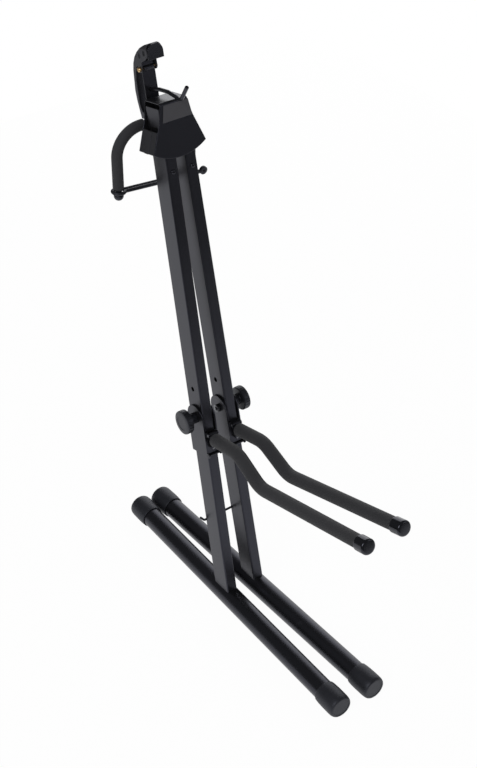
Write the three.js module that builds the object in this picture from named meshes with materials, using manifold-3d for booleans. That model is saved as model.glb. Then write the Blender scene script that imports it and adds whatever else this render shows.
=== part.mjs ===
// A folding cello stand: two hinged legs on foot tubes, a sliding carriage with a
// foam-covered arm on each leg, and a neck yoke, hook lever and bow hook at the head.
// Millimetres, +Z up. The arms reach forward along -Y. The origin is on the floor,
// under the middle of the folded stand's length and width. Heights on the legs and the
// head are measured along the raked legs, up from the axis of the foot tubes.
import * as THREE from 'three';
import { mergeVertices } from 'three/addons/utils/BufferGeometryUtils.js';
import Module from 'manifold-3d';

const wasm = await Module();
wasm.setup();

const degree = Math.PI / 180;

// Clearances shared by all pieces.
const seat = 0.3;
const overrun = 2;

// Round section side counts.
const fineSides = 24;
const foamSides = 20;
const rodSides = 12;
const boltSides = 12;
const bendSteps = 4;

// Stance of the legs.
const rake = 12.63 * degree;
const pivotHeight = 835;
const pivotHalfSpacing = 16.4;
const footHalfSpacing = 27.3;
const openLean = 20.4 * degree;
const toeOut = 1.2 * degree;

// Rectangular leg tube.
const legWidth = 19;
const legDepth = 38;
const legWall = 1.6;
const legCorner = 2.5;
const legAbovePivot = 18;

// Foot tubes and their rubber caps.
const tubeRadius = 17.5;
const tubeWall = 1.8;
const frontReach = 310;
const backReach = 272.5;
const capRadius = 20.5;
const capLength = 43.5;
const capWall = 7;
const capRadiusShares = [0.927, 0.956, 0.988, 1, 1, 0.983, 0.932, 0.834];
const capPlaceShares = [0, 0.1, 0.3, 0.52, 0.76, 0.88, 0.965, 1];

// Folded sheet housing.
const sheet = 2.2;
const legSideClearance = 0.4;
const shellTopRise = 27;
const shellTopHalf = 24;
const shellShoulderRise = 13;
const shellShoulderHalf = 26;
const shellWaistDrop = 2.5;
const shellWaistHalf = 30;
const stopTopDrop = 15;
const shellCornerDrop = 46.5;
const shellArcRadius = 85;
const shellFold = 4;
const stopRibHalf = 6;
const stopRibProud = 0.8;

// Leg rivets.
const pivotRadius = 4;
const rivetHeadRadius = 4.9;
const rivetHeadHeight = 2.2;

// Blank label plate.
const labelTopRise = 23;
const labelBottomDrop = 2.5;
const labelTopLeft = -19;
const labelTopRight = 24.5;
const labelBottomLeft = -24;
const labelBottomRight = 28.5;
const labelThickness = 0.5;

// Post behind the housing.
const postHalf = 11.2;
const postFront = 36;
const postThickness = 2.3;
const postTopRise = 78;
const postFootDrop = 35;
const postTabDrop = 54;
const postFoldOut = 3;
const postRivetDrop = 9;
const postRivetSpacing = 12;
const postRivetRadius = 2.2;
const postRivetHead = 3.6;
const postRivetHeight = 1.6;

// Hook lever and its cross screw.
const screwDepth = 36.9;
const screwRise = 67.5;
const screwRadius = 2;
const screwHeadRadius = 3.8;
const screwHeadLength = 3.6;
const nutRadius = 3.3;
const nutLength = 1.4;
const knuckleRadius = 4.2;
const knuckleHalf = 9;
const leverSheet = 1.6;
const leverHalf = 13.6;
const leverRound = 8;
const leverEarRadius = 5.6;
const leverDeep = 61.8;
const leverTall = 118.8;
const leverLowDrop = 11;
const leverRearDepthShares = [
  0.8922, 0.927, 0.9818, 1, 0.9701, 0.9403,
  0.8856, 0.7894, 0.6633, 0.4975, 0.3317, 0.2217,
];
const leverRearHeightShares = [
  0, 0.0837, 0.2343, 0.3599, 0.4937, 0.6234,
  0.7197, 0.8076, 0.8745, 0.938, 0.983, 1,
];
const leverFrontDepthShares = [
  0.1796, 0.2184, 0.3317, 0.5406, 0.7131, 0.7695,
  0.8292, 0.8723, 0.8856, 0.8292, 0.7463, 0.7463,
];
const leverFrontHeightShares = [
  0.887, 0.8343, 0.79, 0.749, 0.6946, 0.6779,
  0.6025, 0.5021, 0.1841, 0.1004, 0.0753, 0,
];
const slotDepthShares = [0.5506, 0.3317];
const slotHeightShares = [0.8409, 0.886];
const slotHalfWidth = 3.2;
const slotHalfLength = 4.6;
const padFace = 8.1;
const padThickness = 2.7;
const padLowRise = 17;
const padTopRise = 40.2;
const padCorner = 12.8;
const plugLowRise = 23;
const plugTopRise = 35.1;
const plugReach = 19;

// Bow hook.
const bowHookRadius = 3.1;
const bowHookStart = 3.5;
const bowHookArch = 7.5;
const bowHookKnee = -13;
const bowHookRise = 23;
const bowHookBend = -40;
const bowHookTip = -65;
const bowHookFillet = 21;

// Neck yoke.
const yokeAxisDepth = 47.6;
const yokeAxisDrop = 17.8;
const yokeHalfSpan = 66.4;
const yokeBend = 43;
const yokeRodRadius = 4;
const yokeFoamRadius = 8.8;
const yokeFoamStart = 16.8;
const yokeFoamEnd = 93.7;
const yokeRodEnd = 109.7;
const yokeEndFlange = 1.2;
const yokeNeckRadius = 5.2;
const yokeNeckLength = 8.8;
const yokeBallRadius = 7.8;
const yokeBallLength = 10.5;
const yokeLongArm = 13;
const strapRadius = 2.9;
const strapSlack = 0.6;
const strapPinch = 5;
const tabReach = 24.5;
const tabRadius = 6.8;
const tabHole = 2.6;
const tabHalf = 2.4;
const strapLap = 1;
const strapTighten = 0.12;
const collarRadius = 5.4;
const collarWidth = 5;
const bearingHalfHeight = 5.6;
const bearingScrewRadius = 1.5;
const bearingScrewHead = 3;
const bearingScrewHeadHeight = 1.8;
const bearingScrewBite = 3.6;

// Leg bolts below the housing.
const legBoltDrop = 80;
const legBoltRadius = 2;
const legBoltHead = 3.75;
const legBoltHeadHeight = 2;
const legNutRadius = 4;
const legNutHeight = 3;

// Carriages and their clamps.
const clampHeight = 340;
const upperHoleRise = 50;
const legHoleRadius = 4;
const carriageSideGap = 0.8;
const carriageSheet = 2.4;
const webSheet = 2.2;
const carriageDrop = 65;
const webTopDrop = 23;
const recessHalf = 6.8;
const recessLowDrop = 47;
const recessTopDrop = 28.5;
const stopScrewDrop = 52;
const stopScrewRadius = 1.5;
const stopScrewHead = 3;
const stopScrewHeadHeight = 1.8;
const stopPinDrop = 62.2;
const stopPinRadius = 1.8;
const stopPinOut = 3;
const stopPinEar = 4;
const clampScrewRadius = 4;
const clampHubRadius = 10;
const knobInner = 19;
const knobOuter = 29.5;
const knobRadius = 20;
const knobRidge = 0.9;
const knobRidges = 20;
const knobChamfer = 1.4;
const clampNutRadius = 7.4;
const clampNutLength = 4.4;
const clampNutDome = 1.6;
const clampNutDomeRadius = 3.9;

// Arms.
const armAxisDrop = 34.5;
const armPivotRise = 9;
const armKnuckleRadius = 3.7;
const armPinRadius = 2;
const armEarInner = 7.4;
const armEarSheet = 2.4;
const armHeelHalf = 6.4;
const armHeelDepth = 7;
const armRodRadius = 6.35;
const armFoamRadius = 11;
const armFoamStart = 31;
const armKnee = 97;
const armDrop = 39.7;
const armDropReach = 153;
const armEndReach = 429.5;
const armEndRise = 14.7;
const armBend = 42;
const armSplay = 1.4 * degree;
const armCapLength = 22;
const armCapRadius = 12.8;
const armCapWall = 6;
const armCapEdge = 4;
const armCapLip = 1;

// Wire hook behind the legs.
const foldHookHeight = 140;
const foldHookRadius = 2;
const foldHookGap = 0.6;
const foldHookReach = 68.5;
const foldHookKick = 8;
const foldHookKickLength = 6.5;
const foldHookFillet = 5;
const foldEyeRadius = 5.5;
const foldRivetRadius = 2;
const foldRivetHead = 4.5;
const foldRivetHeadHeight = 1.8;

// Heights that follow from the pivot's and the clamp's.
const shellTop = pivotHeight + shellTopRise;
const shellShoulder = pivotHeight + shellShoulderRise;
const shellWaist = pivotHeight - shellWaistDrop;
const stopTop = pivotHeight - stopTopDrop;
const shellCorner = pivotHeight - shellCornerDrop;
const labelTop = pivotHeight + labelTopRise;
const labelBottom = pivotHeight - labelBottomDrop;
const postTop = pivotHeight + postTopRise;
const postFoot = pivotHeight - postFootDrop;
const postTab = pivotHeight - postTabDrop;
const screwHeight = pivotHeight + screwRise;
const leverLow = pivotHeight - leverLowDrop;
const padLow = screwHeight + padLowRise;
const padTop = screwHeight + padTopRise;
const plugLow = screwHeight + plugLowRise;
const plugTop = screwHeight + plugTopRise;
const yokeAxisHeight = pivotHeight - yokeAxisDrop;
const legBoltHeight = pivotHeight - legBoltDrop;
const carriageLow = clampHeight - carriageDrop;
const webTop = clampHeight - webTopDrop;
const recessLow = clampHeight - recessLowDrop;
const recessTop = clampHeight - recessTopDrop;
const stopScrewHeight = clampHeight - stopScrewDrop;
const stopPinHeight = clampHeight - stopPinDrop;
const armHeight = clampHeight - armAxisDrop;

// Worked-out places that several pieces share.
const legHalf = legWidth / 2;
const legFront = legDepth / 2;
const shellInner = legFront + legSideClearance;
const shellOuter = shellInner + sheet;
const foldedLean = Math.atan((footHalfSpacing - pivotHalfSpacing) / pivotHeight);
const legLength = pivotHeight / Math.cos(foldedLean);
const webInner = legFront + legSideClearance;
const webOuter = webInner + webSheet;
const cheekInner = legHalf + carriageSideGap;
const cheekOuter = cheekInner + carriageSheet;

// A height on a leg, as seen from that leg's pivot.
function fromPivot(height) {
  return height - pivotHeight;
}

// Colours and finishes.
function finish(color, roughness, metalness) {
  return new THREE.MeshStandardMaterial({ color, roughness, metalness });
}

const blackPaint = finish(0x17181a, 0.42, 0.2);
const foam = finish(0x1d1d1f, 0.95, 0);
const rubber = finish(0x141415, 0.75, 0);
const plastic = finish(0x1b1b1d, 0.5, 0);
const glossPlastic = finish(0x0c0c0e, 0.18, 0);
const labelGrey = finish(0x8d8d90, 0.55, 0.1);
const brass = finish(0xc79a45, 0.3, 1);
const zinc = finish(0xb9bcc0, 0.32, 1);

// Boolean helpers.
function solid(geometry) {
  const bare = geometry.clone();
  bare.deleteAttribute('normal');
  bare.deleteAttribute('uv');
  const merged = mergeVertices(bare, 1e-4);
  const vertProperties = new Float32Array(merged.attributes.position.array);
  const triVerts = new Uint32Array(merged.index.array);
  return new wasm.Manifold(new wasm.Mesh({ numProp: 3, vertProperties, triVerts }));
}

function surface(manifold) {
  const mesh = manifold.getMesh();
  const geometry = new THREE.BufferGeometry();
  geometry.setAttribute('position', new THREE.BufferAttribute(new Float32Array(mesh.vertProperties), 3));
  geometry.setIndex(new THREE.BufferAttribute(new Uint32Array(mesh.triVerts), 1));
  geometry.computeVertexNormals();
  return geometry;
}

function join(first, ...others) {
  return surface(others.reduce((sum, other) => sum.add(solid(other)), solid(first)));
}

function cut(first, ...tools) {
  return surface(tools.reduce((rest, tool) => rest.subtract(solid(tool)), solid(first)));
}

function common(first, second) {
  return surface(solid(first).intersect(solid(second)));
}

// Shape helpers. A face outline is drawn in lateral x and height, and a side outline
// in depth and height.
function outline(points) {
  return new THREE.Shape(points.map(([x, y]) => new THREE.Vector2(x, y)));
}

function extrude(shape, length, curveSegments = bendSteps) {
  return new THREE.ExtrudeGeometry(shape, { depth: length, bevelEnabled: false, curveSegments });
}

function facePlate(shape, nearDepth, thickness, curveSegments) {
  const geometry = extrude(shape, thickness, curveSegments);
  geometry.rotateX(Math.PI / 2);
  geometry.translate(0, nearDepth + thickness, 0);
  return geometry;
}

function sidePlate(shape, nearX, thickness, curveSegments) {
  const geometry = extrude(shape, thickness, curveSegments);
  const lateral = new THREE.Vector3(1, 0, 0);
  const depth = new THREE.Vector3(0, 1, 0);
  const up = new THREE.Vector3(0, 0, 1);
  geometry.applyMatrix4(new THREE.Matrix4().makeBasis(depth, up, lateral));
  geometry.translate(nearX, 0, 0);
  return geometry;
}

function block(lowX, highX, lowY, highY, lowZ, highZ) {
  const geometry = new THREE.BoxGeometry(highX - lowX, highY - lowY, highZ - lowZ);
  geometry.translate((lowX + highX) / 2, (lowY + highY) / 2, (lowZ + highZ) / 2);
  return geometry;
}

// A turned piece: pairs of radius and distance along the direction given.
function turned(profile, start, direction, sides = fineSides) {
  const points = profile.map(([radius, distance]) => new THREE.Vector2(radius, distance));
  const geometry = new THREE.LatheGeometry(points, sides);
  const axis = new THREE.Vector3(...direction).normalize();
  geometry.applyQuaternion(new THREE.Quaternion().setFromUnitVectors(new THREE.Vector3(0, 1, 0), axis));
  geometry.translate(...start);
  return geometry;
}

function pin(radius, length, start, direction, sides = boltSides) {
  return turned([[0, 0], [radius, 0], [radius, length], [0, length]], start, direction, sides);
}

function washer(inner, outer, length, start, direction, sides = boltSides) {
  const ring = [[inner, 0], [outer, 0], [outer, length], [inner, length], [inner, 0]];
  return turned(ring, start, direction, sides);
}

// A round run with a fillet at each inner corner. Its stations are the ends of the
// straight stretches and a few places round each fillet.
class BentRun extends THREE.Curve {
  constructor(corners, fillet) {
    super();
    this.places = [];
    this.headings = [];
    const at = corners.map((corner) => new THREE.Vector3(...corner));
    const last = at.length - 1;
    const heading = (i) => at[i + 1].clone().sub(at[i]).normalize();
    this.add(at[0], heading(0));
    for (let i = 1; i < last; i += 1) {
      this.bend(at[i], heading(i - 1), heading(i), fillet);
    }
    this.add(at[last], heading(last - 1));
  }

  add(place, heading) {
    const before = this.places[this.places.length - 1];
    if (before && before.distanceTo(place) < seat / 2) return;
    this.places.push(place.clone());
    this.headings.push(heading.clone());
  }

  bend(corner, before, after, fillet) {
    const turn = before.angleTo(after);
    const start = corner.clone().addScaledVector(before, -fillet * Math.tan(turn / 2));
    const across = after.clone().addScaledVector(before, -Math.cos(turn)).normalize();
    for (let i = 0; i <= bendSteps; i += 1) {
      const angle = turn * i / bendSteps;
      const place = start.clone().addScaledVector(before, fillet * Math.sin(angle));
      place.addScaledVector(across, fillet * (1 - Math.cos(angle)));
      const heading = before.clone().multiplyScalar(Math.cos(angle)).addScaledVector(across, Math.sin(angle));
      this.add(place, heading);
    }
  }

  station(share) {
    return Math.round(share * (this.places.length - 1));
  }

  getPointAt(share) {
    return this.places[this.station(share)].clone();
  }

  getTangentAt(share) {
    return this.headings[this.station(share)].clone();
  }
}

function ring(radius, sides) {
  const points = [];
  for (let i = 0; i < sides; i += 1) {
    const angle = 2 * Math.PI * i / sides;
    points.push(new THREE.Vector2(radius * Math.cos(angle), radius * Math.sin(angle)));
  }
  return points;
}

function rod(corners, fillet, radius, sides = rodSides) {
  const path = new BentRun(corners, fillet);
  const section = new THREE.Shape(ring(radius, sides));
  return new THREE.ExtrudeGeometry(section, { extrudePath: path, steps: path.places.length - 1 });
}

function sleeve(corners, fillet, inner, outer) {
  const path = new BentRun(corners, fillet);
  const section = new THREE.Shape(ring(outer, foamSides));
  section.holes.push(new THREE.Path(ring(inner, rodSides)));
  return new THREE.ExtrudeGeometry(section, { extrudePath: path, steps: path.places.length - 1 });
}

function piece(name, geometry, material) {
  const mesh = new THREE.Mesh(geometry, material);
  mesh.name = name;
  return mesh;
}

const stand = new THREE.Group();
const upright = new THREE.Group();
upright.position.z = capRadius;
upright.rotation.x = -rake;
stand.add(upright);

// Half width of the housing's slanted edge at a height: the opened leg's outer face,
// its clearance and the thickness of the stop wall.
function slantHalf(height, inset = 0) {
  const reach = legHalf + legSideClearance + sheet - inset;
  return pivotHalfSpacing + reach / Math.cos(openLean) + (pivotHeight - height) * Math.tan(openLean);
}

// Housing: front plate, top and back plate folded from one sheet.
function headShell() {
  const cornerHalf = slantHalf(shellCorner);
  const arcCentre = shellCorner + Math.sqrt(shellArcRadius ** 2 - cornerHalf ** 2);
  const arcAngle = Math.asin(cornerHalf / shellArcRadius);
  const face = new THREE.Shape();
  face.moveTo(-shellTopHalf, shellTop);
  face.lineTo(-shellShoulderHalf, shellShoulder);
  face.lineTo(-shellWaistHalf, shellWaist);
  face.lineTo(-slantHalf(stopTop), stopTop);
  face.lineTo(-cornerHalf, shellCorner);
  face.absarc(0, arcCentre, shellArcRadius, -Math.PI / 2 - arcAngle, -Math.PI / 2 + arcAngle, false);
  face.lineTo(slantHalf(stopTop), stopTop);
  face.lineTo(shellWaistHalf, shellWaist);
  face.lineTo(shellShoulderHalf, shellShoulder);
  face.lineTo(shellTopHalf, shellTop);

  const low = arcCentre - shellArcRadius - overrun;
  const foldHeight = shellTop - shellFold;
  const fold = shellOuter - shellFold;
  const inside = shellFold - sheet;
  const bent = new THREE.Shape();
  bent.moveTo(-shellOuter, low);
  bent.lineTo(-shellInner, low);
  bent.lineTo(-shellInner, foldHeight);
  bent.absarc(-fold, foldHeight, inside, Math.PI, Math.PI / 2, true);
  bent.absarc(fold, foldHeight, inside, Math.PI / 2, 0, true);
  bent.lineTo(shellInner, low);
  bent.lineTo(shellOuter, low);
  bent.lineTo(shellOuter, foldHeight);
  bent.absarc(fold, foldHeight, shellFold, 0, Math.PI / 2, false);
  bent.absarc(-fold, foldHeight, shellFold, Math.PI / 2, Math.PI, false);
  bent.lineTo(-shellOuter, low);

  const half = cornerHalf + overrun;
  const span = 2 * (shellOuter + overrun);
  const blank = common(
    facePlate(face, -shellOuter - overrun, span, 2 * bendSteps),
    sidePlate(bent, -half, 2 * half, bendSteps / 2),
  );
  const holes = [-1, 1].map((side) => pin(
    pivotRadius + seat, span, [side * pivotHalfSpacing, -shellOuter - overrun, pivotHeight], [0, 1, 0],
  ));
  const rivetHoles = [-1, 1].map((side) => pin(
    postRivetRadius + seat, sheet + 2 * overrun,
    [side * postRivetSpacing / 2, shellInner - overrun, postFoot - postRivetDrop], [0, 1, 0],
  ));
  return cut(blank, ...holes, ...rivetHoles);
}

// Stop wall along one slanted side, with its raised rib.
function sideStop(side) {
  const wall = outline([
    [side * slantHalf(stopTop), stopTop],
    [side * slantHalf(shellCorner), shellCorner],
    [side * slantHalf(shellCorner, sheet), shellCorner],
    [side * slantHalf(stopTop, sheet), stopTop],
  ]);
  const rib = outline([
    [side * slantHalf(stopTop, -stopRibProud), stopTop],
    [side * slantHalf(shellCorner, -stopRibProud), shellCorner],
    [side * slantHalf(shellCorner, sheet), shellCorner],
    [side * slantHalf(stopTop, sheet), stopTop],
  ]);
  const reach = shellInner - seat;
  return join(facePlate(wall, -reach, 2 * reach), facePlate(rib, -stopRibHalf, 2 * stopRibHalf));
}

// Rivet that a leg turns on: flush in the front plate, headed behind the back plate.
function legPivot(side) {
  const length = 2 * shellOuter;
  const headStart = length + seat;
  const profile = [
    [0, 0], [pivotRadius, 0], [pivotRadius, headStart], [rivetHeadRadius, headStart],
    [rivetHeadRadius * 0.7, headStart + rivetHeadHeight * 0.8], [0, headStart + rivetHeadHeight],
  ];
  return turned(profile, [side * pivotHalfSpacing, -shellOuter, pivotHeight], [0, 1, 0], boltSides);
}

function labelPlate() {
  const face = outline([
    [labelTopLeft, labelTop],
    [labelBottomLeft, labelBottom],
    [labelBottomRight, labelBottom],
    [labelTopRight, labelTop],
  ]);
  return facePlate(face, -shellOuter - seat - labelThickness, labelThickness);
}

// Post: a strip folded in at its foot, with a tab riveted to the back plate and a
// knuckle near its top.
function postBracket() {
  const back = postFront + postThickness;
  const tabFace = shellOuter + seat;
  const strip = outline([
    [tabFace, postTab],
    [tabFace + postThickness, postTab],
    [tabFace + postThickness, postFoot],
    [back - postFoldOut, postFoot],
    [back, postFoot + postFoldOut],
    [back, postTop],
    [postFront, postTop],
    [postFront, postFoot + postThickness + postFoldOut / 2],
    [postFront - postFoldOut / 2, postFoot + postThickness],
    [tabFace, postFoot + postThickness],
  ]);
  const knuckle = pin(knuckleRadius, 2 * knuckleHalf, [-knuckleHalf, screwDepth, screwHeight], [1, 0, 0]);
  const bore = pin(
    screwRadius + seat, 2 * (postHalf + overrun), [-postHalf - overrun, screwDepth, screwHeight], [1, 0, 0],
  );
  const rivetHoles = [-1, 1].map((side) => pin(
    postRivetRadius + seat, postThickness + 2 * overrun,
    [side * postRivetSpacing / 2, tabFace - overrun, postFoot - postRivetDrop], [0, 1, 0],
  ));
  const screwHole = pin(
    bearingScrewRadius + seat, postThickness + 2 * overrun,
    [0, postFront - overrun, yokeAxisHeight], [0, 1, 0],
  );
  return cut(join(sidePlate(strip, -postHalf, 2 * postHalf), knuckle), bore, screwHole, ...rivetHoles);
}

function postRivet(side) {
  const shank = shellOuter + seat + postThickness + seat - shellInner - seat / 2;
  const profile = [
    [0, 0], [postRivetRadius, 0], [postRivetRadius, shank], [postRivetHead, shank],
    [postRivetHead * 0.7, shank + postRivetHeight * 0.8], [0, shank + postRivetHeight],
  ];
  const start = [side * postRivetSpacing / 2, shellInner + seat / 2, postFoot - postRivetDrop];
  return turned(profile, start, [0, 1, 0], boltSides);
}

// Block that the yoke turns in, screwed on behind the post.
function yokeBearing() {
  const face = postFront + postThickness + seat;
  const low = yokeAxisHeight - bearingHalfHeight;
  const high = yokeAxisHeight + bearingHalfHeight;
  const body = block(-postHalf, postHalf, face, yokeAxisDepth + bearingHalfHeight, low, high);
  const start = -postHalf - overrun;
  const bore = pin(
    yokeRodRadius + seat, 2 * (postHalf + overrun),
    [start, yokeAxisDepth, yokeAxisHeight], [1, 0, 0], fineSides,
  );
  const blind = pin(
    bearingScrewRadius + seat, overrun + bearingScrewBite + seat,
    [0, face - overrun, yokeAxisHeight], [0, 1, 0],
  );
  return cut(body, bore, blind);
}

// Screw through the post into the bearing block, headed in front of the post.
function bearingScrew() {
  const shank = postThickness + 2 * seat + bearingScrewBite;
  const profile = [
    [0, -bearingScrewHeadHeight], [bearingScrewHead * 0.6, -bearingScrewHeadHeight], [bearingScrewHead, 0],
    [bearingScrewRadius, 0], [bearingScrewRadius, shank], [0, shank],
  ];
  return turned(profile, [0, postFront - seat, yokeAxisHeight], [0, 1, 0], boltSides);
}

function bowHook() {
  const height = shellTop + seat + bowHookRadius;
  const path = [
    [0, postFront - seat, height + bowHookStart], [0, bowHookKnee, height + bowHookArch],
    [0, bowHookBend, height], [0, bowHookTip, height + bowHookRise],
  ];
  return rod(path, bowHookFillet, bowHookRadius, rodSides);
}

// Screw and nut that the hook lever turns on.
function crossScrew() {
  const under = leverHalf + seat;
  const length = 2 * under + nutLength + seat;
  const profile = [
    [0, -screwHeadLength], [screwHeadRadius * 0.8, -screwHeadLength],
    [screwHeadRadius, -screwHeadLength * 0.7],
    [screwHeadRadius, 0], [screwRadius, 0], [screwRadius, length], [0, length],
  ];
  return turned(profile, [-under, screwDepth, screwHeight], [1, 0, 0], boltSides);
}

function crossNut() {
  const start = [leverHalf + 2 * seat, screwDepth, screwHeight];
  return washer(screwRadius + seat, nutRadius, nutLength, start, [1, 0, 0], 6);
}

upright.add(
  piece('head_shell', headShell(), blackPaint),
  piece('side_stop_left', sideStop(-1), blackPaint),
  piece('side_stop_right', sideStop(1), blackPaint),
  piece('leg_pivot_left', legPivot(-1), blackPaint),
  piece('leg_pivot_right', legPivot(1), blackPaint),
  piece('label_plate', labelPlate(), labelGrey),
  piece('post_bracket', postBracket(), blackPaint),
  piece('post_rivet_left', postRivet(-1), blackPaint),
  piece('post_rivet_right', postRivet(1), blackPaint),
  piece('yoke_bearing', yokeBearing(), plastic),
  piece('bearing_screw', bearingScrew(), zinc),
  piece('bow_hook', bowHook(), blackPaint),
  piece('cross_screw', crossScrew(), brass),
  piece('cross_nut', crossNut(), brass),
);

// Moves an open line of points to its left-hand side by a distance, and runs its
// first and last points on past the ends.
function inset(points, distance) {
  const at = points.map(([x, y]) => new THREE.Vector2(x, y));
  const last = at.length - 1;
  const along = (i) => at[Math.min(i + 1, last)].clone().sub(at[Math.max(i - 1, 0)]).normalize();
  return at.map((place, i) => {
    const heading = along(i);
    const run = (i === last ? overrun * 4 : 0) - (i === 0 ? overrun * 4 : 0);
    return [
      place.x - heading.y * distance + heading.x * run, place.y + heading.x * distance + heading.y * run,
    ];
  });
}

// Rounded top of the hook lever as seen from the front, moved inward by a wall.
function leverArch(wall) {
  const half = leverHalf - wall;
  const top = leverLow + leverTall - wall;
  const corner = leverRound - wall;
  const arch = new THREE.Shape();
  arch.moveTo(-half, leverLow - overrun);
  arch.lineTo(half, leverLow - overrun);
  arch.absarc(half - corner, top - corner, corner, 0, Math.PI / 2, false);
  arch.absarc(-half + corner, top - corner, corner, Math.PI / 2, Math.PI, false);
  arch.lineTo(-half, leverLow - overrun);
  return facePlate(arch, -overrun, leverDeep + 2 * overrun);
}

// Hook lever: a channel whose web runs up behind the post and over its top.
function hookLever() {
  const place = (depthShare, heightShare) => [leverDeep * depthShare, leverLow + leverTall * heightShare];
  const rear = leverRearDepthShares.map((share, i) => place(share, leverRearHeightShares[i]));
  const front = leverFrontDepthShares.map((share, i) => place(share, leverFrontHeightShares[i]));
  const slab = sidePlate(outline([...rear, ...front]), -leverHalf, 2 * leverHalf);
  const body = common(slab, leverArch(0));
  const ear = outline([
    [screwDepth - leverEarRadius, screwHeight],
    [screwDepth + leverEarRadius, screwHeight],
    [screwDepth + leverEarRadius + leverSheet, screwHeight + 2 * leverEarRadius],
    [screwDepth - leverEarRadius, screwHeight + 2 * leverEarRadius + leverSheet],
  ]);
  const ears = sidePlate(ear, -leverHalf, 2 * leverHalf);
  const earRound = pin(leverEarRadius, 2 * leverHalf, [-leverHalf, screwDepth, screwHeight], [1, 0, 0]);
  const inner = leverHalf - leverSheet;
  const lining = inset(rear, leverSheet);
  const inward = [lining[lining.length - 1][0], lining[0][1]];
  const space = sidePlate(outline([...lining, inward]), -inner, 2 * inner);
  const hollow = common(space, leverArch(leverSheet));
  const bore = pin(
    screwRadius + seat, 2 * (leverHalf + overrun), [-leverHalf - overrun, screwDepth, screwHeight], [1, 0, 0],
  );
  const slots = slotDepthShares.map((share, i) => {
    const [depth, height] = place(share, slotHeightShares[i]);
    const oval = new THREE.Shape();
    oval.absellipse(depth, height, slotHalfWidth, slotHalfLength, 0, 2 * Math.PI, false, 0);
    return sidePlate(oval, -leverHalf - overrun, 2 * (leverHalf + overrun), bendSteps);
  });
  return cut(join(body, ears, earRound), hollow, bore, ...slots);
}

// Plug in the front end of the hook lever, with a face that stands in front of it.
function hookPad() {
  const half = leverHalf;
  const face = new THREE.Shape();
  face.moveTo(-half, padLow);
  face.lineTo(half, padLow);
  face.absarc(half - padCorner, padTop - padCorner, padCorner, 0, Math.PI / 2, false);
  face.absarc(-half + padCorner, padTop - padCorner, padCorner, Math.PI / 2, Math.PI, false);
  face.lineTo(-half, padLow);
  const plugHalf = leverHalf - leverSheet - seat;
  const filling = block(-plugHalf, plugHalf, padFace + padThickness / 2, plugReach, plugLow, plugTop);
  const plug = common(filling, leverArch(leverSheet + seat));
  return join(facePlate(face, padFace, padThickness), plug);
}

upright.add(
  piece('hook_lever', hookLever(), blackPaint),
  piece('hook_pad', hookPad(), rubber),
);

// Neck yoke: it hangs straight down, so its group undoes the rake.
const yoke = new THREE.Group();
yoke.position.set(0, yokeAxisDepth, yokeAxisHeight);
yoke.rotation.x = rake;
upright.add(yoke);

// The right arm of the yoke is the longer one.
function hangBy(side, drop) {
  return side > 0 ? drop + yokeLongArm : drop;
}

function yokeRod() {
  const path = [
    [-yokeHalfSpan, 0, -hangBy(-1, yokeRodEnd)], [-yokeHalfSpan, 0, 0],
    [yokeHalfSpan, 0, 0], [yokeHalfSpan, 0, -hangBy(1, yokeRodEnd)],
  ];
  return rod(path, yokeBend, yokeRodRadius);
}

function yokeFoam(side) {
  const path = [
    [side * yokeFoamStart, 0, 0], [side * yokeHalfSpan, 0, 0],
    [side * yokeHalfSpan, 0, -hangBy(side, yokeFoamEnd)],
  ];
  return sleeve(path, yokeBend, yokeRodRadius + seat, yokeFoamRadius);
}

// Moulded end: a flange against the foam, a neck for the strap and a ball.
function yokeEnd(side) {
  const neckStart = yokeEndFlange;
  const neckEnd = neckStart + yokeNeckLength;
  const bore = yokeRodEnd - yokeFoamEnd;
  const end = neckEnd + yokeBallLength;
  const profile = [
    [0, bore], [yokeRodRadius + seat, bore], [yokeRodRadius + seat, 0], [yokeBallRadius, 0],
    [yokeBallRadius, neckStart], [yokeNeckRadius, neckStart], [yokeNeckRadius, neckEnd],
    [yokeBallRadius, neckEnd],
  ];
  const domeStart = neckEnd + yokeBallLength - yokeBallRadius;
  for (let i = 0; i < bendSteps; i += 1) {
    const angle = Math.PI / 2 * i / bendSteps;
    profile.push([yokeBallRadius * Math.cos(angle), domeStart + yokeBallRadius * Math.sin(angle)]);
  }
  profile.push([0, end]);
  const start = [side * yokeHalfSpan, 0, -hangBy(side, yokeFoamEnd) - seat];
  return turned(profile, start, [0, 0, -1], foamSides);
}

// Rubber loop stretched round the necks of both ends, made of two halves, with a
// pull ring beyond its right end.
function strap() {
  const ringRadius = yokeNeckRadius + seat + strapSlack + strapRadius;
  const neck = seat + yokeEndFlange + yokeNeckLength / 2;
  const far = yokeHalfSpan + ringRadius;
  const heightAt = (x) => -yokeFoamEnd - neck - yokeLongArm * (x + yokeHalfSpan) / (2 * yokeHalfSpan);
  const halves = [-1, 1].map((side) => {
    const lap = -side * strapLap;
    const out = side * far;
    const path = [
      [lap, strapPinch, heightAt(lap)], [out, ringRadius, heightAt(out)],
      [out, -ringRadius, heightAt(out)], [lap, -strapPinch, heightAt(lap)],
    ];
    return rod(path, ringRadius * (1 - strapTighten), strapRadius, rodSides);
  });
  const tabCentre = yokeHalfSpan + tabReach;
  const height = heightAt(far);
  const linkHalf = strapRadius * 0.8;
  const link = block(far, tabCentre, -tabHalf, tabHalf, height - linkHalf, height + linkHalf);
  const ring = pin(tabRadius, 2 * tabHalf, [tabCentre, -tabHalf, height], [0, 1, 0], foamSides);
  const hole = pin(tabHole, 2 * (tabHalf + overrun), [tabCentre, -tabHalf - overrun, height], [0, 1, 0]);
  return cut(join(...halves, link, ring), hole);
}

function yokeCollar(side) {
  const start = [side * (postHalf + seat), 0, 0];
  return washer(yokeRodRadius + seat, collarRadius, collarWidth, start, [side, 0, 0], foamSides);
}

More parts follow.
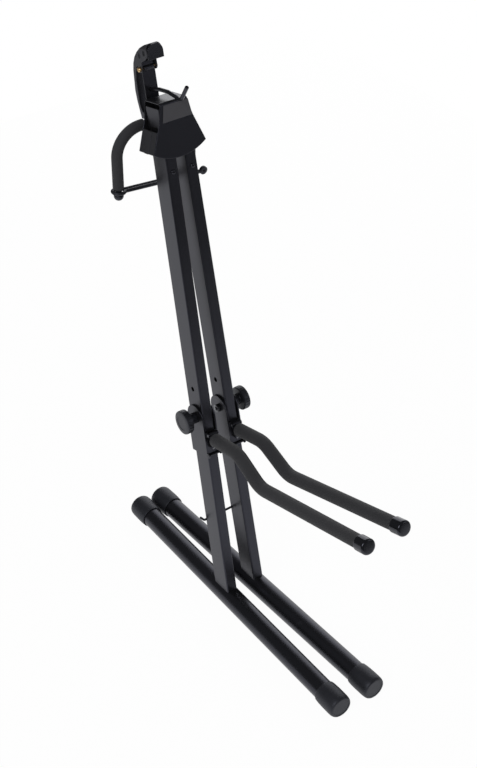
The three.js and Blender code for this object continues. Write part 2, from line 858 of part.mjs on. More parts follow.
yoke.add(
  piece('yoke_rod', yokeRod(), blackPaint),
  piece('yoke_collar_left', yokeCollar(-1), plastic),
  piece('yoke_collar_right', yokeCollar(1), plastic),
  piece('yoke_foam_left', yokeFoam(-1), foam),
  piece('yoke_foam_right', yokeFoam(1), foam),
  piece('yoke_end_left', yokeEnd(-1), plastic),
  piece('yoke_end_right', yokeEnd(1), plastic),
  piece('strap', strap(), rubber),
);

// Rounded rectangle in lateral x and depth.
function roundedRectangle(halfX, halfY, corner, shape) {
  shape.absarc(halfX - corner, halfY - corner, corner, 0, Math.PI / 2, false);
  shape.absarc(-halfX + corner, halfY - corner, corner, Math.PI / 2, Math.PI, false);
  shape.absarc(-halfX + corner, -halfY + corner, corner, Math.PI, Math.PI * 1.5, false);
  shape.absarc(halfX - corner, -halfY + corner, corner, Math.PI * 1.5, Math.PI * 2, false);
  return shape;
}

// Leg tube: coped over the foot tube, drilled for its rivet, bolt and clamp.
function legTube(side, footTool) {
  const section = roundedRectangle(legHalf, legFront, legCorner, new THREE.Shape());
  const inside = legCorner - legWall / 2;
  section.holes.push(roundedRectangle(legHalf - legWall, legFront - legWall, inside, new THREE.Path()));
  const tube = extrude(section, legLength + legAbovePivot, bendSteps / 2);
  tube.translate(0, 0, -legLength);
  const acrossDepth = (radius, height) => pin(
    radius, legDepth + 2 * overrun, [0, -legFront - overrun, height], [0, 1, 0],
  );
  const acrossWidth = (height) => pin(
    legHoleRadius, legWidth + 2 * overrun, [-legHalf - overrun, 0, height], [1, 0, 0],
  );
  const tools = [
    footTool,
    acrossDepth(pivotRadius + seat, 0),
    acrossDepth(legBoltRadius + seat, fromPivot(legBoltHeight)),
    acrossWidth(fromPivot(clampHeight)),
    acrossWidth(fromPivot(clampHeight + upperHoleRise)),
  ];
  if (side > 0) {
    tools.push(pin(
      foldRivetRadius + seat, legWall + 2 * overrun,
      [0, legFront - legWall - overrun, fromPivot(foldHookHeight)], [0, 1, 0],
    ));
  }
  return cut(tube, ...tools);
}

function footTube() {
  return washer(
    tubeRadius - tubeWall, tubeRadius, frontReach + backReach, [0, -frontReach, 0], [0, 1, 0], fineSides,
  );
}

// Rubber cap over one end of a foot tube, a little barrel-shaped.
function footCap(reach, forward) {
  const rim = reach + capWall - capLength;
  const cavity = reach - rim + seat;
  const bore = tubeRadius + seat;
  const barrel = capRadiusShares.map((share, i) => [capRadius * share, capLength * capPlaceShares[i]]);
  const profile = [[0, cavity], [bore, cavity], [bore, 0], ...barrel, [0, capLength]];
  return turned(profile, [0, forward * rim, 0], [0, forward, 0]);
}

// Bolt through a leg just below the housing, and its nut.
function legBolt() {
  const under = legFront + seat;
  const length = 2 * under + legNutHeight + seat;
  const profile = [
    [0, -legBoltHeadHeight], [legBoltHead * 0.6, -legBoltHeadHeight * 0.8], [legBoltHead, 0],
    [legBoltRadius, 0], [legBoltRadius, length], [0, length],
  ];
  return turned(profile, [0, -under, fromPivot(legBoltHeight)], [0, 1, 0], boltSides);
}

function legNut() {
  const start = [0, legFront + seat, fromPivot(legBoltHeight)];
  return washer(legBoltRadius + seat, legNutRadius, legNutHeight, start, [0, 1, 0], 6);
}

// Wire hook that swings down from the back of the right leg, with its rivet.
function foldHook() {
  const depth = legFront + foldHookGap + foldHookRadius;
  const path = [
    [-foldRivetHead, depth, 0], [-foldHookReach + foldHookKickLength, depth, 0],
    [-foldHookReach, depth, foldHookKick],
  ];
  const eye = pin(foldEyeRadius, 2 * foldHookRadius, [0, legFront + foldHookGap, 0], [0, 1, 0]);
  const bore = pin(foldRivetRadius + seat, legFront, [0, legFront - overrun, 0], [0, 1, 0]);
  const hook = cut(join(eye, rod(path, foldHookFillet, foldHookRadius)), bore);
  return hook.translate(0, 0, fromPivot(foldHookHeight));
}

function foldHookRivet() {
  const shank = legWall + foldHookGap + 2 * foldHookRadius + 2 * seat;
  const profile = [
    [0, 0], [foldRivetRadius, 0], [foldRivetRadius, shank], [foldRivetHead, shank],
    [foldRivetHead * 0.7, shank + foldRivetHeadHeight * 0.8], [0, shank + foldRivetHeadHeight],
  ];
  const start = [0, legFront - legWall - seat, fromPivot(foldHookHeight)];
  return turned(profile, start, [0, 1, 0], boltSides);
}

// Places on a carriage, measured up from its clamp and forward from the leg's axis.
function fromClamp(height) {
  return height - clampHeight;
}

const armPivotReach = webOuter + seat + armKnuckleRadius;
const armPivotHeight = armHeight + armPivotRise;
const stopPinReach = webOuter + seat + stopPinRadius;

// Carriage: a channel round the front and sides of a leg, with ears for the arm's
// pin and for the stop pin.
function carriage() {
  const low = fromClamp(carriageLow);
  const profile = new THREE.Shape();
  profile.moveTo(-webOuter, low);
  profile.lineTo(webOuter, low);
  profile.absarc(0, 0, webOuter, 0, Math.PI, false);
  profile.lineTo(-webOuter, low);
  const body = sidePlate(profile, -cheekOuter, 2 * cheekOuter, 2 * bendSteps);

  const ears = [];
  for (const side of [-1, 1]) {
    const armEarStart = side > 0 ? armEarInner : -armEarInner - armEarSheet;
    const armEar = outline([
      [-armPivotReach, fromClamp(armPivotHeight) - armKnuckleRadius],
      [-webInner, fromClamp(armPivotHeight) - armKnuckleRadius],
      [-webInner, fromClamp(webTop)],
      [-armPivotReach, fromClamp(armPivotHeight) + armKnuckleRadius],
    ]);
    ears.push(sidePlate(armEar, armEarStart, armEarSheet));
    ears.push(pin(
      armKnuckleRadius, armEarSheet, [armEarStart, -armPivotReach, fromClamp(armPivotHeight)], [1, 0, 0],
    ));
    const pinEarStart = side > 0 ? cheekInner : -cheekOuter;
    ears.push(pin(
      stopPinEar, carriageSheet, [pinEarStart, -stopPinReach, fromClamp(stopPinHeight)], [1, 0, 0],
    ));
  }

  const rear = webOuter + overrun;
  const front = -webOuter - stopPinEar - overrun;
  const high = webOuter + overrun;
  const across = 2 * (cheekOuter + overrun);
  const start = -cheekOuter - overrun;
  const tools = [
    block(-cheekInner, cheekInner, -webInner, rear, low - stopPinEar - overrun, high),
    block(-armEarInner, armEarInner, front, 0, fromClamp(webTop), high),
    block(-cheekInner, cheekInner, front, 0, fromClamp(armPivotHeight) + armKnuckleRadius, high),
    block(-recessHalf, recessHalf, front, 0, fromClamp(recessLow), fromClamp(recessTop)),
    pin(clampScrewRadius + seat, across, [start, 0, 0], [1, 0, 0]),
    pin(armPinRadius + seat, across, [start, -armPivotReach, fromClamp(armPivotHeight)], [1, 0, 0]),
    pin(stopPinRadius + seat, across, [start, -stopPinReach, fromClamp(stopPinHeight)], [1, 0, 0]),
    pin(stopScrewRadius + seat, legFront, [0, front, fromClamp(stopScrewHeight)], [0, 1, 0]),
  ];
  return cut(join(body, ...ears), ...tools);
}

// Pin that the arm swings on, flush in its ears.
function armPin() {
  const half = armEarInner + armEarSheet;
  return pin(armPinRadius, 2 * half, [-half, -armPivotReach, fromClamp(armPivotHeight)], [1, 0, 0]);
}

function stopPin() {
  const length = 2 * cheekOuter + seat;
  const head = stopPinRadius + seat * 3;
  const profile = [
    [0, 0], [stopPinRadius, 0], [stopPinRadius, length], [head, length],
    [head, length + stopPinOut * 0.7], [head * 0.7, length + stopPinOut], [0, length + stopPinOut],
  ];
  return turned(profile, [-cheekOuter, -stopPinReach, fromClamp(stopPinHeight)], [1, 0, 0], boltSides);
}

// Small screw in the web, below the arm's heel.
function stopScrew() {
  const shank = webSheet + seat;
  const profile = [
    [0, 0], [stopScrewRadius, 0], [stopScrewRadius, shank], [stopScrewHead, shank],
    [stopScrewHead * 0.6, shank + stopScrewHeadHeight], [0, shank + stopScrewHeadHeight],
  ];
  return turned(profile, [0, -webInner, fromClamp(stopScrewHeight)], [0, -1, 0], boltSides);
}

// Hand knob: a round hub and a ridged disc, with a blind bore for its screw.
function clampKnob(side) {
  const near = cheekOuter + seat;
  const discNear = legHalf + knobInner;
  const discFar = legHalf + knobOuter;
  const points = [];
  for (let i = 0; i < 2 * knobRidges; i += 1) {
    const angle = Math.PI * i / knobRidges;
    const radius = knobRadius - (i % 2) * knobRidge;
    points.push([radius * Math.cos(angle), radius * Math.sin(angle)]);
  }
  const thickness = discFar - discNear;
  const ridged = sidePlate(outline(points), side > 0 ? discNear : -discFar, thickness);
  const chamfered = turned([
    [0, 0], [knobRadius - knobChamfer, 0], [knobRadius + knobRidge, 2 * knobChamfer],
    [knobRadius + knobRidge, thickness - 2 * knobChamfer], [knobRadius - knobChamfer, thickness],
    [0, thickness],
  ], [side * discNear, 0, 0], [side, 0, 0]);
  const hub = pin(clampHubRadius, discNear - near + overrun, [side * near, 0, 0], [side, 0, 0], foamSides);
  const boreLength = discNear - near + overrun;
  const bore = pin(clampScrewRadius + seat, boreLength, [side * (near - overrun / 2), 0, 0], [side, 0, 0]);
  return cut(join(common(ridged, chamfered), hub), bore);
}

function clampScrew(side) {
  const start = legHalf + seat;
  const end = legHalf + knobInner;
  return pin(clampScrewRadius, end - start, [side * start, 0, 0], [side, 0, 0]);
}

// Domed nut on the inner cheek, with its spigot in the cheek.
function clampNut(side) {
  const face = cheekOuter + seat;
  const hexagon = pin(clampNutRadius, clampNutLength, [-side * face, 0, 0], [-side, 0, 0], 6);
  const spigotStart = legHalf + seat;
  const spigotEnd = face + clampNutLength / 2;
  const spigot = pin(clampScrewRadius, spigotEnd - spigotStart, [-side * spigotStart, 0, 0], [-side, 0, 0]);
  const reach = clampNutLength + clampNutDome;
  const dome = turned([
    [0, 0], [clampNutDomeRadius, 0], [clampNutDomeRadius, clampNutLength],
    [clampNutDomeRadius * 0.7, clampNutLength + clampNutDome * 0.7], [0, reach],
  ], [-side * face, 0, 0], [-side, 0, 0], boltSides);
  return join(hexagon, spigot, dome);
}

// A place on an arm, from its pivot: the reach is forward from the leg's axis.
function armPlace(side, reach, height) {
  return [
    side * (reach - webOuter) * Math.tan(armSplay), armPivotReach - reach, height - armPivotHeight,
  ];
}

// Height of the arm's last straight stretch at a reach.
function armTipHeight(reach) {
  const share = (reach - armDropReach) / (armEndReach - armDropReach);
  return armHeight - armDrop + armEndRise * share;
}

function armCorners(side, start, end) {
  return [
    armPlace(side, start, armHeight),
    armPlace(side, armKnee, armHeight),
    armPlace(side, armDropReach, armHeight - armDrop),
    armPlace(side, end, armTipHeight(end)),
  ];
}

// Arm: a knuckle and a flat heel that carry a bent rod.
function armRod(side) {
  const bar = rod(armCorners(side, armPivotReach, armEndReach - armCapWall), armBend, armRodRadius);
  const knuckle = pin(armKnuckleRadius, 2 * armHeelHalf, [-armHeelHalf, 0, 0], [1, 0, 0]);
  const heelLow = stopScrewHeight + stopScrewHead + seat - armPivotHeight;
  const heel = block(
    -armHeelHalf, armHeelHalf, armKnuckleRadius - armHeelDepth, armKnuckleRadius, heelLow, 0,
  );
  const bore = pin(
    armPinRadius + seat, 2 * (armHeelHalf + overrun), [-armHeelHalf - overrun, 0, 0], [1, 0, 0],
  );
  return cut(join(bar, knuckle, heel), bore);
}

function armFoam(side) {
  const end = armEndReach - armCapLength - seat;
  return sleeve(armCorners(side, armFoamStart, end), armBend, armRodRadius + seat, armFoamRadius);
}

function armCap(side) {
  const start = armEndReach - armCapLength;
  const from = armPlace(side, start, armTipHeight(start));
  const to = armPlace(side, armEndReach, armTipHeight(armEndReach));
  const heading = to.map((value, i) => value - from[i]);
  const length = Math.hypot(...heading);
  const bore = length - armCapWall + seat;
  const inner = armRodRadius + seat;
  const profile = [
    [0, bore], [inner, bore], [inner, 0], [armCapRadius - armCapLip, 0], [armCapRadius, armCapLip],
  ];
  for (let i = 0; i <= bendSteps; i += 1) {
    const angle = Math.PI / 2 * i / bendSteps;
    profile.push([
      armCapRadius - armCapEdge * (1 - Math.cos(angle)), length - armCapEdge * (1 - Math.sin(angle)),
    ]);
  }
  profile.push([0, length]);
  return turned(profile, from, heading);
}

for (const [hand, side] of [['left', -1], ['right', 1]]) {
  const leg = new THREE.Group();
  leg.position.set(side * pivotHalfSpacing, 0, pivotHeight);
  leg.rotation.y = -side * foldedLean;
  upright.add(leg);

  const foot = new THREE.Group();
  foot.position.set(side * footHalfSpacing, 0, capRadius);
  foot.rotation.z = side * toeOut;
  stand.add(foot);

  stand.updateMatrixWorld(true);
  const footTool = pin(tubeRadius + seat, 4 * legDepth, [0, -2 * legDepth, 0], [0, 1, 0], fineSides);
  footTool.applyMatrix4(foot.matrixWorld);
  footTool.applyMatrix4(leg.matrixWorld.clone().invert());

  leg.add(
    piece(`leg_${hand}`, legTube(side, footTool), blackPaint),
    piece(`leg_bolt_${hand}`, legBolt(), blackPaint),
    piece(`leg_nut_${hand}`, legNut(), zinc),
  );
  if (side > 0) {
    leg.add(
      piece('fold_hook', foldHook(), blackPaint),
      piece('fold_hook_rivet', foldHookRivet(), blackPaint),
    );
  }
  foot.add(
    piece(`foot_tube_${hand}`, footTube(), blackPaint),
    piece(`front_foot_cap_${hand}`, footCap(frontReach, -1), rubber),
    piece(`back_foot_cap_${hand}`, footCap(backReach, 1), rubber),
  );

  const slider = new THREE.Group();
  slider.position.z = fromPivot(clampHeight);
  leg.add(slider);
  slider.add(
    piece(`carriage_${hand}`, carriage(), blackPaint),
    piece(`arm_pin_${hand}`, armPin(), zinc),
    piece(`stop_pin_${hand}`, stopPin(), blackPaint),
    piece(`stop_screw_${hand}`, stopScrew(), zinc),
    piece(`clamp_nut_${hand}`, clampNut(side), zinc),
    piece(`clamp_knob_${hand}`, clampKnob(side), plastic),
    piece(`clamp_screw_${hand}`, clampScrew(side), zinc),
  );

  const arm = new THREE.Group();
  arm.position.set(0, -armPivotReach, fromClamp(armPivotHeight));
  slider.add(arm);
  arm.add(
    piece(`arm_rod_${hand}`, armRod(side), blackPaint),
    piece(`arm_foam_${hand}`, armFoam(side), foam),
    piece(`arm_cap_${hand}`, armCap(side), glossPlastic),
  );
}

// The origin goes under the middle of the stand.
stand.updateMatrixWorld(true);
const extent = new THREE.Box3().setFromObject(stand, true);
stand.position.x = -(extent.min.x + extent.max.x) / 2;
stand.position.y = -(extent.min.y + extent.max.y) / 2;

export default stand;
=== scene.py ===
# %% [markdown]
# # A folding cello stand
# Two rectangular steel legs hinge side by side in a small sheet housing and are welded
# to round foot tubes with rubber caps. Each leg carries a channel that slides up and
# down and is clamped by a hand knob, and each channel holds a padded arm for the
# instrument's body. At the head are a padded yoke for the neck, a curved hook lever and
# a bent hook for the bow. The solid model of all these pieces comes first, as a fixed
# frame, and every piece made here is placed by that frame, in metres.

# %% The fixed frame
import math

import bpy
from mathutils import Matrix, Vector


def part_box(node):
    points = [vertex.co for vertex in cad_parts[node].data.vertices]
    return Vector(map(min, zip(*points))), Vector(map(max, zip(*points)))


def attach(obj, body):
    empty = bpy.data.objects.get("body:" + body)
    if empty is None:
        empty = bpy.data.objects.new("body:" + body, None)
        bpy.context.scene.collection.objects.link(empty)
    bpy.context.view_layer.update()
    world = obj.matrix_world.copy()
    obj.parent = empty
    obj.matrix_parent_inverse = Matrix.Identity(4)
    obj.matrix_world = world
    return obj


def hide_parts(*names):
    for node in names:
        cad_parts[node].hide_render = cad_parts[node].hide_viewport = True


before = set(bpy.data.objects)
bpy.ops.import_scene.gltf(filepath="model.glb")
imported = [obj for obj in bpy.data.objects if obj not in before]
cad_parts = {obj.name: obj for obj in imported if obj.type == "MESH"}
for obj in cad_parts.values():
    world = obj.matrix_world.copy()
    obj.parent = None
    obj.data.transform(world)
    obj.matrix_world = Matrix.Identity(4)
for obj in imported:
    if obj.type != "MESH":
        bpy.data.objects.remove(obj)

bpy.ops.object.select_all(action="DESELECT")
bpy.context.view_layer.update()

# %% [markdown]
# The legs lean back, so a place on them is easiest to give in a frame that leans with
# them: across, back, and up along the legs from the axis of the foot tubes. A matrix
# turns such a place into the room's frame. The yoke hangs plumb in a frame of its own,
# and each leg and each foot gets one in the same way. The strap's pull ring sticks out
# on the right, so the stand's middle plane lies a little left of the middle of its box.

# %% Frames that lean with the pieces
RAKE = math.radians(12.63)
MIDDLE = -0.009707
WELD_LINE = 0.040225
FOOT_AXIS = 0.0205
PIVOT_HEIGHT = 0.835
PIVOT_SIDE = 0.0164
FOOT_SIDE = 0.0273
TOE_OUT = math.radians(1.2)
LEAN = math.atan((FOOT_SIDE - PIVOT_SIDE) / PIVOT_HEIGHT)
YOKE_AXIS = (0, 0.0476, 0.8172)
HOUSING_TOP = (0, 0, 0.862)
HANDS = {"left": -1, "right": 1}
MILLIMETRE = 0.001

head_frame = Matrix.Translation((MIDDLE, WELD_LINE, FOOT_AXIS)) @ Matrix.Rotation(-RAKE, 4, "X")
yoke_frame = head_frame @ Matrix.Translation(YOKE_AXIS) @ Matrix.Rotation(RAKE, 4, "X")


def leg_frame(side):
    hinge = Matrix.Translation((side * PIVOT_SIDE, 0, PIVOT_HEIGHT))
    drop = Matrix.Translation((0, 0, -PIVOT_HEIGHT))
    return head_frame @ hinge @ Matrix.Rotation(-side * LEAN, 4, "Y") @ drop


def foot_frame(side):
    weld = Matrix.Translation((MIDDLE + side * FOOT_SIDE, WELD_LINE, FOOT_AXIS))
    return weld @ Matrix.Rotation(side * TOE_OUT, 4, "Z")


def in_frame(place, *points):
    return [place @ Vector(point) for point in points]


def in_mm(length):
    return round(length / MILLIMETRE)


def size_of(node):
    low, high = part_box(node)
    return high - low


print("top of the housing:", [round(value, 4) for value in head_frame @ Vector(HOUSING_TOP)])

# %% [markdown]
# The camera stands where the photograph was taken: in front of the stand, to its left
# and well above it, looking down. Its place and lens were worked out from the directions
# in which the legs and the foot tubes run away from the camera.

# %% The camera
CAMERA_PLACE = (MIDDLE - 1.2082, -1.6211, 1.9670)
LOOK_TURN = math.radians(35.948)
LOOK_DOWN = math.radians(36.47)
SENSOR_WIDTH = 36
LENS_LENGTH = 77.245

camera_data = bpy.data.cameras.new("photo_camera")
camera = bpy.data.objects.new("photo_camera", camera_data)
bpy.context.scene.collection.objects.link(camera)
camera.location = CAMERA_PLACE
look = Vector((
    math.sin(LOOK_TURN) * math.cos(LOOK_DOWN),
    math.cos(LOOK_TURN) * math.cos(LOOK_DOWN),
    -math.sin(LOOK_DOWN),
))
camera.rotation_euler = look.to_track_quat("-Z", "Y").to_euler()
camera_data.sensor_width = SENSOR_WIDTH
camera_data.lens = LENS_LENGTH
bpy.context.scene.camera = camera
print("camera looks along", [round(value, 3) for value in look])

# %% [markdown]
# Shader maths reads best as ordinary expressions. A small class holds one socket of a
# material's node tree, and adding or multiplying two of them adds the Math node that
# does it. A second class holds a material that is being made. Its node method adds any
# other node: the kind of node, its settings, and then what goes into its sockets. The
# Mix node has several sockets of one name, so those that mix colours go by number.

# %% Sockets that do their own maths
MIX_SHARE = 0
MIX_FIRST = 6
MIX_SECOND = 7
MIX_RESULT = 2


class Wire:
    def __init__(self, socket):
        self.socket = socket
        self.tree = socket.id_data

    def maths(self, operation, first, second):
        node = self.tree.nodes.new("ShaderNodeMath")
        node.operation = operation
        for place, value in enumerate((first, second)):
            if isinstance(value, Wire):
                self.tree.links.new(value.socket, node.inputs[place])
            else:
                node.inputs[place].default_value = value
        return Wire(node.outputs[0])

    def __add__(self, other):
        return self.maths("ADD", self, other)

    def __radd__(self, other):
        return self.maths("ADD", other, self)

    def __sub__(self, other):
        return self.maths("SUBTRACT", self, other)

    def __rsub__(self, other):
        return self.maths("SUBTRACT", other, self)

    def __mul__(self, other):
        return self.maths("MULTIPLY", self, other)

    def __rmul__(self, other):
        return self.maths("MULTIPLY", other, self)

    def at_most(self, top):
        return self.maths("MINIMUM", self, top)


class Finish:
    def __init__(self, name, **values):
        self.material = bpy.data.materials.new(name)
        self.material.use_nodes = True
        self.tree = self.material.node_tree
        self.shader = self.tree.nodes["Principled BSDF"]
        for socket, value in values.items():
            self.shader.inputs[socket.replace("_", " ")].default_value = value
        self.place = self.node("ShaderNodeTexCoord", output="Object")

    def node(self, kind, settings=None, sockets=None, output=0):
        node = self.tree.nodes.new(kind)
        for setting, value in (settings or {}).items():
            setattr(node, setting, value)
        for socket, value in (sockets or {}).items():
            if isinstance(value, Wire):
                self.tree.links.new(value.socket, node.inputs[socket])
            else:
                node.inputs[socket].default_value = value
        return Wire(node.outputs[output])

    def noise(self, scale, detail=2.0, stretch=(1, 1, 1)):
        spread = self.node("ShaderNodeMapping", None, {"Vector": self.place, "Scale": stretch})
        return self.node("ShaderNodeTexNoise", None, {
            "Vector": spread, "Scale": scale, "Detail": detail})

    def mask(self, value, low, high):
        return self.node("ShaderNodeMapRange", {"clamp": True}, {
            "Value": value, "From Min": low, "From Max": high, "To Min": 0.0, "To Max": 1.0})

    def blend(self, share, first, second):
        return self.node("ShaderNodeMix", {"data_type": "RGBA"}, {
            MIX_SHARE: share, MIX_FIRST: first, MIX_SECOND: second}, MIX_RESULT)

    def grain(self, height, depth, strength):
        return self.node("ShaderNodeBump", None, {
            "Height": height, "Distance": depth, "Strength": strength})

    def set(self, socket, value):
        self.tree.links.new(value.socket, self.shader.inputs[socket])


print("sockets and finishes are ready")

# %% [markdown]
# The steel of the legs, feet and housing is powder coated: black, satin, with the fine
# orange peel that the powder leaves as it flows, a little uneven in gloss, and with
# faint grey rubs where the folded stand is handled. A flat black would look like a
# hole, because nearly all that the eye sees of such a coat is the room in its gloss.
# The bolts have a shinier coat, and the hook lever and the side stops a paler copy of the coat, which is
# painted light for their lit faces.

# %% Powder-coated steel
def powder_coat(name, tone=0.006, gloss=0.27):
    coat = Finish(name, Specular_IOR_Level=0.54, Specular_Tint=(0.75, 0.77, 1.0, 1))
    peel = coat.noise(scale=650)
    cloud = coat.noise(scale=9, detail=3.0)
    rub = coat.mask(coat.noise(scale=34, detail=5.0, stretch=(1.0, 1.0, 0.3)), low=0.66, high=0.74)
    dark = (tone * 0.86, tone * 0.87, tone * 0.93, 1)
    pale = (tone * 1.22, tone * 1.22, tone * 1.3, 1)
    grey = (tone * 2.6, tone * 2.6, tone * 2.7, 1)
    coat.set("Base Color", coat.blend(rub * 0.45, coat.blend(cloud, dark, pale), grey))
    coat.set("Roughness", gloss + cloud * 0.10 + rub * 0.08)
    coat.set("Normal", coat.grain(peel, depth=0.00012, strength=0.35))
    return coat.material


black_paint = powder_coat("black_powder_coat")
bolt_paint = powder_coat("glossy_bolt_paint", tone=0.008, gloss=0.13)
# A paler copy of the black coat: painted light, so that the lit faces of the hook lever and the side stops
# come out brighter.
painted_light_coat = powder_coat("painted_light_coat", tone=0.024, gloss=0.30)
print("made", black_paint.name, bolt_paint.name, painted_light_coat.name)

# %% [markdown]
# The sleeves on the arms and on the yoke are closed-cell foam with a cut skin: matt,
# full of small cells, and a shade lighter than the paint. The cells come from a texture
# that parts space into cells, and a slow noise makes the skin slightly uneven in tone,
# as foam is. Rubber and plastics differ in tone, gloss and grain only, so one function
# makes them all.

# %% Foam, rubber and moulded plastics
def cell_foam(name, tone=0.03):
    skin = Finish(name, Specular_IOR_Level=0.3, Sheen_Weight=0.1, Sheen_Roughness=0.5)
    cells = skin.node("ShaderNodeTexVoronoi", None, {"Vector": skin.place, "Scale": 1100.0})
    fine = skin.noise(scale=2600)
    cloud = skin.noise(scale=22, detail=4.0)
    low = (tone * 0.75, tone * 0.76, tone * 0.86, 1)
    high = (tone * 1.25, tone * 1.26, tone * 1.4, 1)
    skin.set("Base Color", skin.blend(cloud * 0.7 + cells * 0.3, low, high))
    skin.set("Roughness", 0.78 + cloud * 0.16)
    skin.set("Normal", skin.grain(cells * 0.7 + fine * 0.3, depth=0.0003, strength=0.8))
    return skin.material


def moulded(name, tone, gloss, grain_scale, grain_depth):
    skin = Finish(name, Specular_IOR_Level=0.5, Specular_Tint=(0.80, 0.83, 1.0, 1))
    spark = skin.noise(grain_scale)
    cloud = skin.noise(scale=30, detail=3.0)
    low = (tone * 0.80, tone * 0.84, tone * 1.0, 1)
    high = (tone * 1.12, tone * 1.17, tone * 1.4, 1)
    skin.set("Base Color", skin.blend(cloud, low, high))
    skin.set("Roughness", gloss + cloud * 0.08 + spark * 0.04)
    skin.set("Normal", skin.grain(spark, grain_depth, strength=0.6))
    return skin.material


foam = cell_foam("sleeve_foam")
rubber = moulded("cap_rubber", tone=0.012, gloss=0.44, grain_scale=900, grain_depth=0.00012)
plastic = moulded("moulded_plastic", tone=0.010, gloss=0.34, grain_scale=1500, grain_depth=0.00008)
gloss_plastic = moulded("glossy_moulding", tone=0.006, gloss=0.12, grain_scale=120, grain_depth=0.00003)
smooth_rubber = moulded("smooth_rubber", tone=0.006, gloss=0.20, grain_scale=400, grain_depth=0.00004)
print("made", foam.name, rubber.name, plastic.name, gloss_plastic.name, smooth_rubber.name)

# %% [markdown]
# Three small finishes are left: the bare grey plate on the housing, the brass cross
# screw, and the zinc plate of the pins and nuts. Brass and zinc are metals, so their
# colour is the colour of their reflections, and fine turning marks break them up.

# %% Grey plate, brass and zinc
def grey_plate(name):
    film = Finish(name, Specular_IOR_Level=0.5)
    brushed = film.noise(scale=700, detail=3.0, stretch=(1.0, 0.05, 0.05))
    cloud = film.noise(scale=40, detail=3.0)
    low = (0.047, 0.046, 0.053, 1)
    high = (0.06, 0.059, 0.067, 1)
    film.set("Base Color", film.blend(cloud * 0.6 + brushed * 0.4, low, high))
    film.set("Roughness", 0.38 + brushed * 0.1)
    film.set("Normal", film.grain(brushed, depth=0.00004, strength=0.5))
    return film.material


def plated(name, low, high, gloss):
    metal = Finish(name, Metallic=1.0)
    turning = metal.noise(scale=1400, stretch=(1.0, 0.2, 1.0))
    cloud = metal.noise(scale=160, detail=3.0)
    metal.set("Base Color", metal.blend(cloud, low, high))
    metal.set("Roughness", gloss + turning * 0.14)
    metal.set("Normal", metal.grain(turning, depth=0.00003, strength=0.5))
    return metal.material


label_grey = grey_plate("bare_grey_plate")
brass = plated("turned_brass", low=(0.62, 0.42, 0.19, 1), high=(0.80, 0.60, 0.33, 1), gloss=0.24)
zinc = plated("dark_zinc_plate", low=(0.15, 0.155, 0.17, 1), high=(0.25, 0.255, 0.27, 1), gloss=0.30)
print("made", label_grey.name, brass.name, zinc.name)

# %% [markdown]
# Every piece ends the same way: its place goes into its mesh, it rides on a body, it takes its finish from
# its slot's entry in a table, and the solid it stands for is hidden.
# That is one small function, so that no step is forgotten. A piece may have a finish of
# its own in place of its slot's usual one.

# %% Finishing a piece
SLOT_FINISH = {
    "black_paint": black_paint, "foam": foam, "rubber": rubber, "plastic": plastic,
    "gloss_plastic": gloss_plastic, "label": label_grey, "brass": brass, "zinc": zinc,
}


def deselect():
    bpy.ops.object.select_all(action="DESELECT")


def edit(piece, choose="SELECT"):
    deselect()
    piece.select_set(True)
    bpy.context.view_layer.objects.active = piece
    bpy.ops.object.mode_set(mode="EDIT")
    bpy.ops.mesh.select_all(action=choose)


def leave_edit():
    bpy.ops.object.mode_set(mode="OBJECT")


def round_edges(piece, width, segments=2, limit=30):
    bevel = piece.modifiers.new("round", "BEVEL")
    bevel.width = width
    bevel.segments = segments
    bevel.limit_method = "ANGLE"
    bevel.use_clamp_overlap = False
    bevel.angle_limit = math.radians(limit)
    bpy.context.view_layer.objects.active = piece
    bpy.ops.object.modifier_apply(modifier=bevel.name)


def hand_in(piece, node, body, slot, smooth=30, finish=None):
    piece.name = node + "_piece"
    deselect()
    piece.select_set(True)
    bpy.context.view_layer.objects.active = piece
    bpy.ops.object.transform_apply(location=True, rotation=True, scale=True)
    bpy.ops.object.shade_smooth_by_angle(angle=math.radians(smooth))
    weighted = piece.modifiers.new("flat_faces_stay_flat", "WEIGHTED_NORMAL")
    weighted.keep_sharp = True
    bpy.ops.object.modifier_apply(modifier=weighted.name)
    piece.data.materials.clear()
    piece.data.materials.append(finish or SLOT_FINISH[slot])
    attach(piece, body)
    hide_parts(node)
    deselect()
    return piece


print("a piece is finished in one call")

# %% [markdown]
# Pressed sheet, sawn tube and drilled plate are exact in the solid model already. What
# a real one adds is an edge that catches the light: no sheet has a knife edge. So these
# pieces are copies of their solids: the copy's loose triangles are merged, flat faces
# are dissolved into whole ones, and the edges that are left are rounded by a bevel. The
# bevel's overlap clamp is off, because one short edge would hold all the others back.

# %% Dressing a solid
SOLID_MERGE = 0.00001
FLAT_ANGLE = math.radians(1)


def dress(node, body, slot, width=0.0004, segments=2, smooth=34, finish=None):
    source = bpy.data.objects[node]
    deselect()
    source.select_set(True)
    bpy.context.view_layer.objects.active = source
    bpy.ops.object.duplicate()
    piece = bpy.context.view_layer.objects.active
    edit(piece)
    bpy.ops.mesh.remove_doubles(threshold=SOLID_MERGE)
    bpy.ops.mesh.dissolve_limited(angle_limit=FLAT_ANGLE)
    leave_edit()
    round_edges(piece, width, segments)
    return hand_in(piece, node, body, slot, smooth, finish)


dress("head_shell", "head", "black_paint", width=0.0010)
for hand in HANDS:
    dress(f"side_stop_{hand}", "head", "black_paint", width=0.0003, finish=painted_light_coat)
dress("post_bracket", "head", "black_paint")
for hand in HANDS:
    dress(f"leg_{hand}", f"leg_{hand}", "black_paint", width=0.0003)
    dress(f"carriage_{hand}", f"carriage_{hand}", "black_paint")
print("dressed the sheet pieces and both legs")

# %% [markdown]
# The bearing block of the yoke is a plain moulding, the nuts are cut from hexagon bar,
# and the clamp screws and the arms' pins are plain round steel. Their solids have the
# right shape too, so they are dressed in the same way.

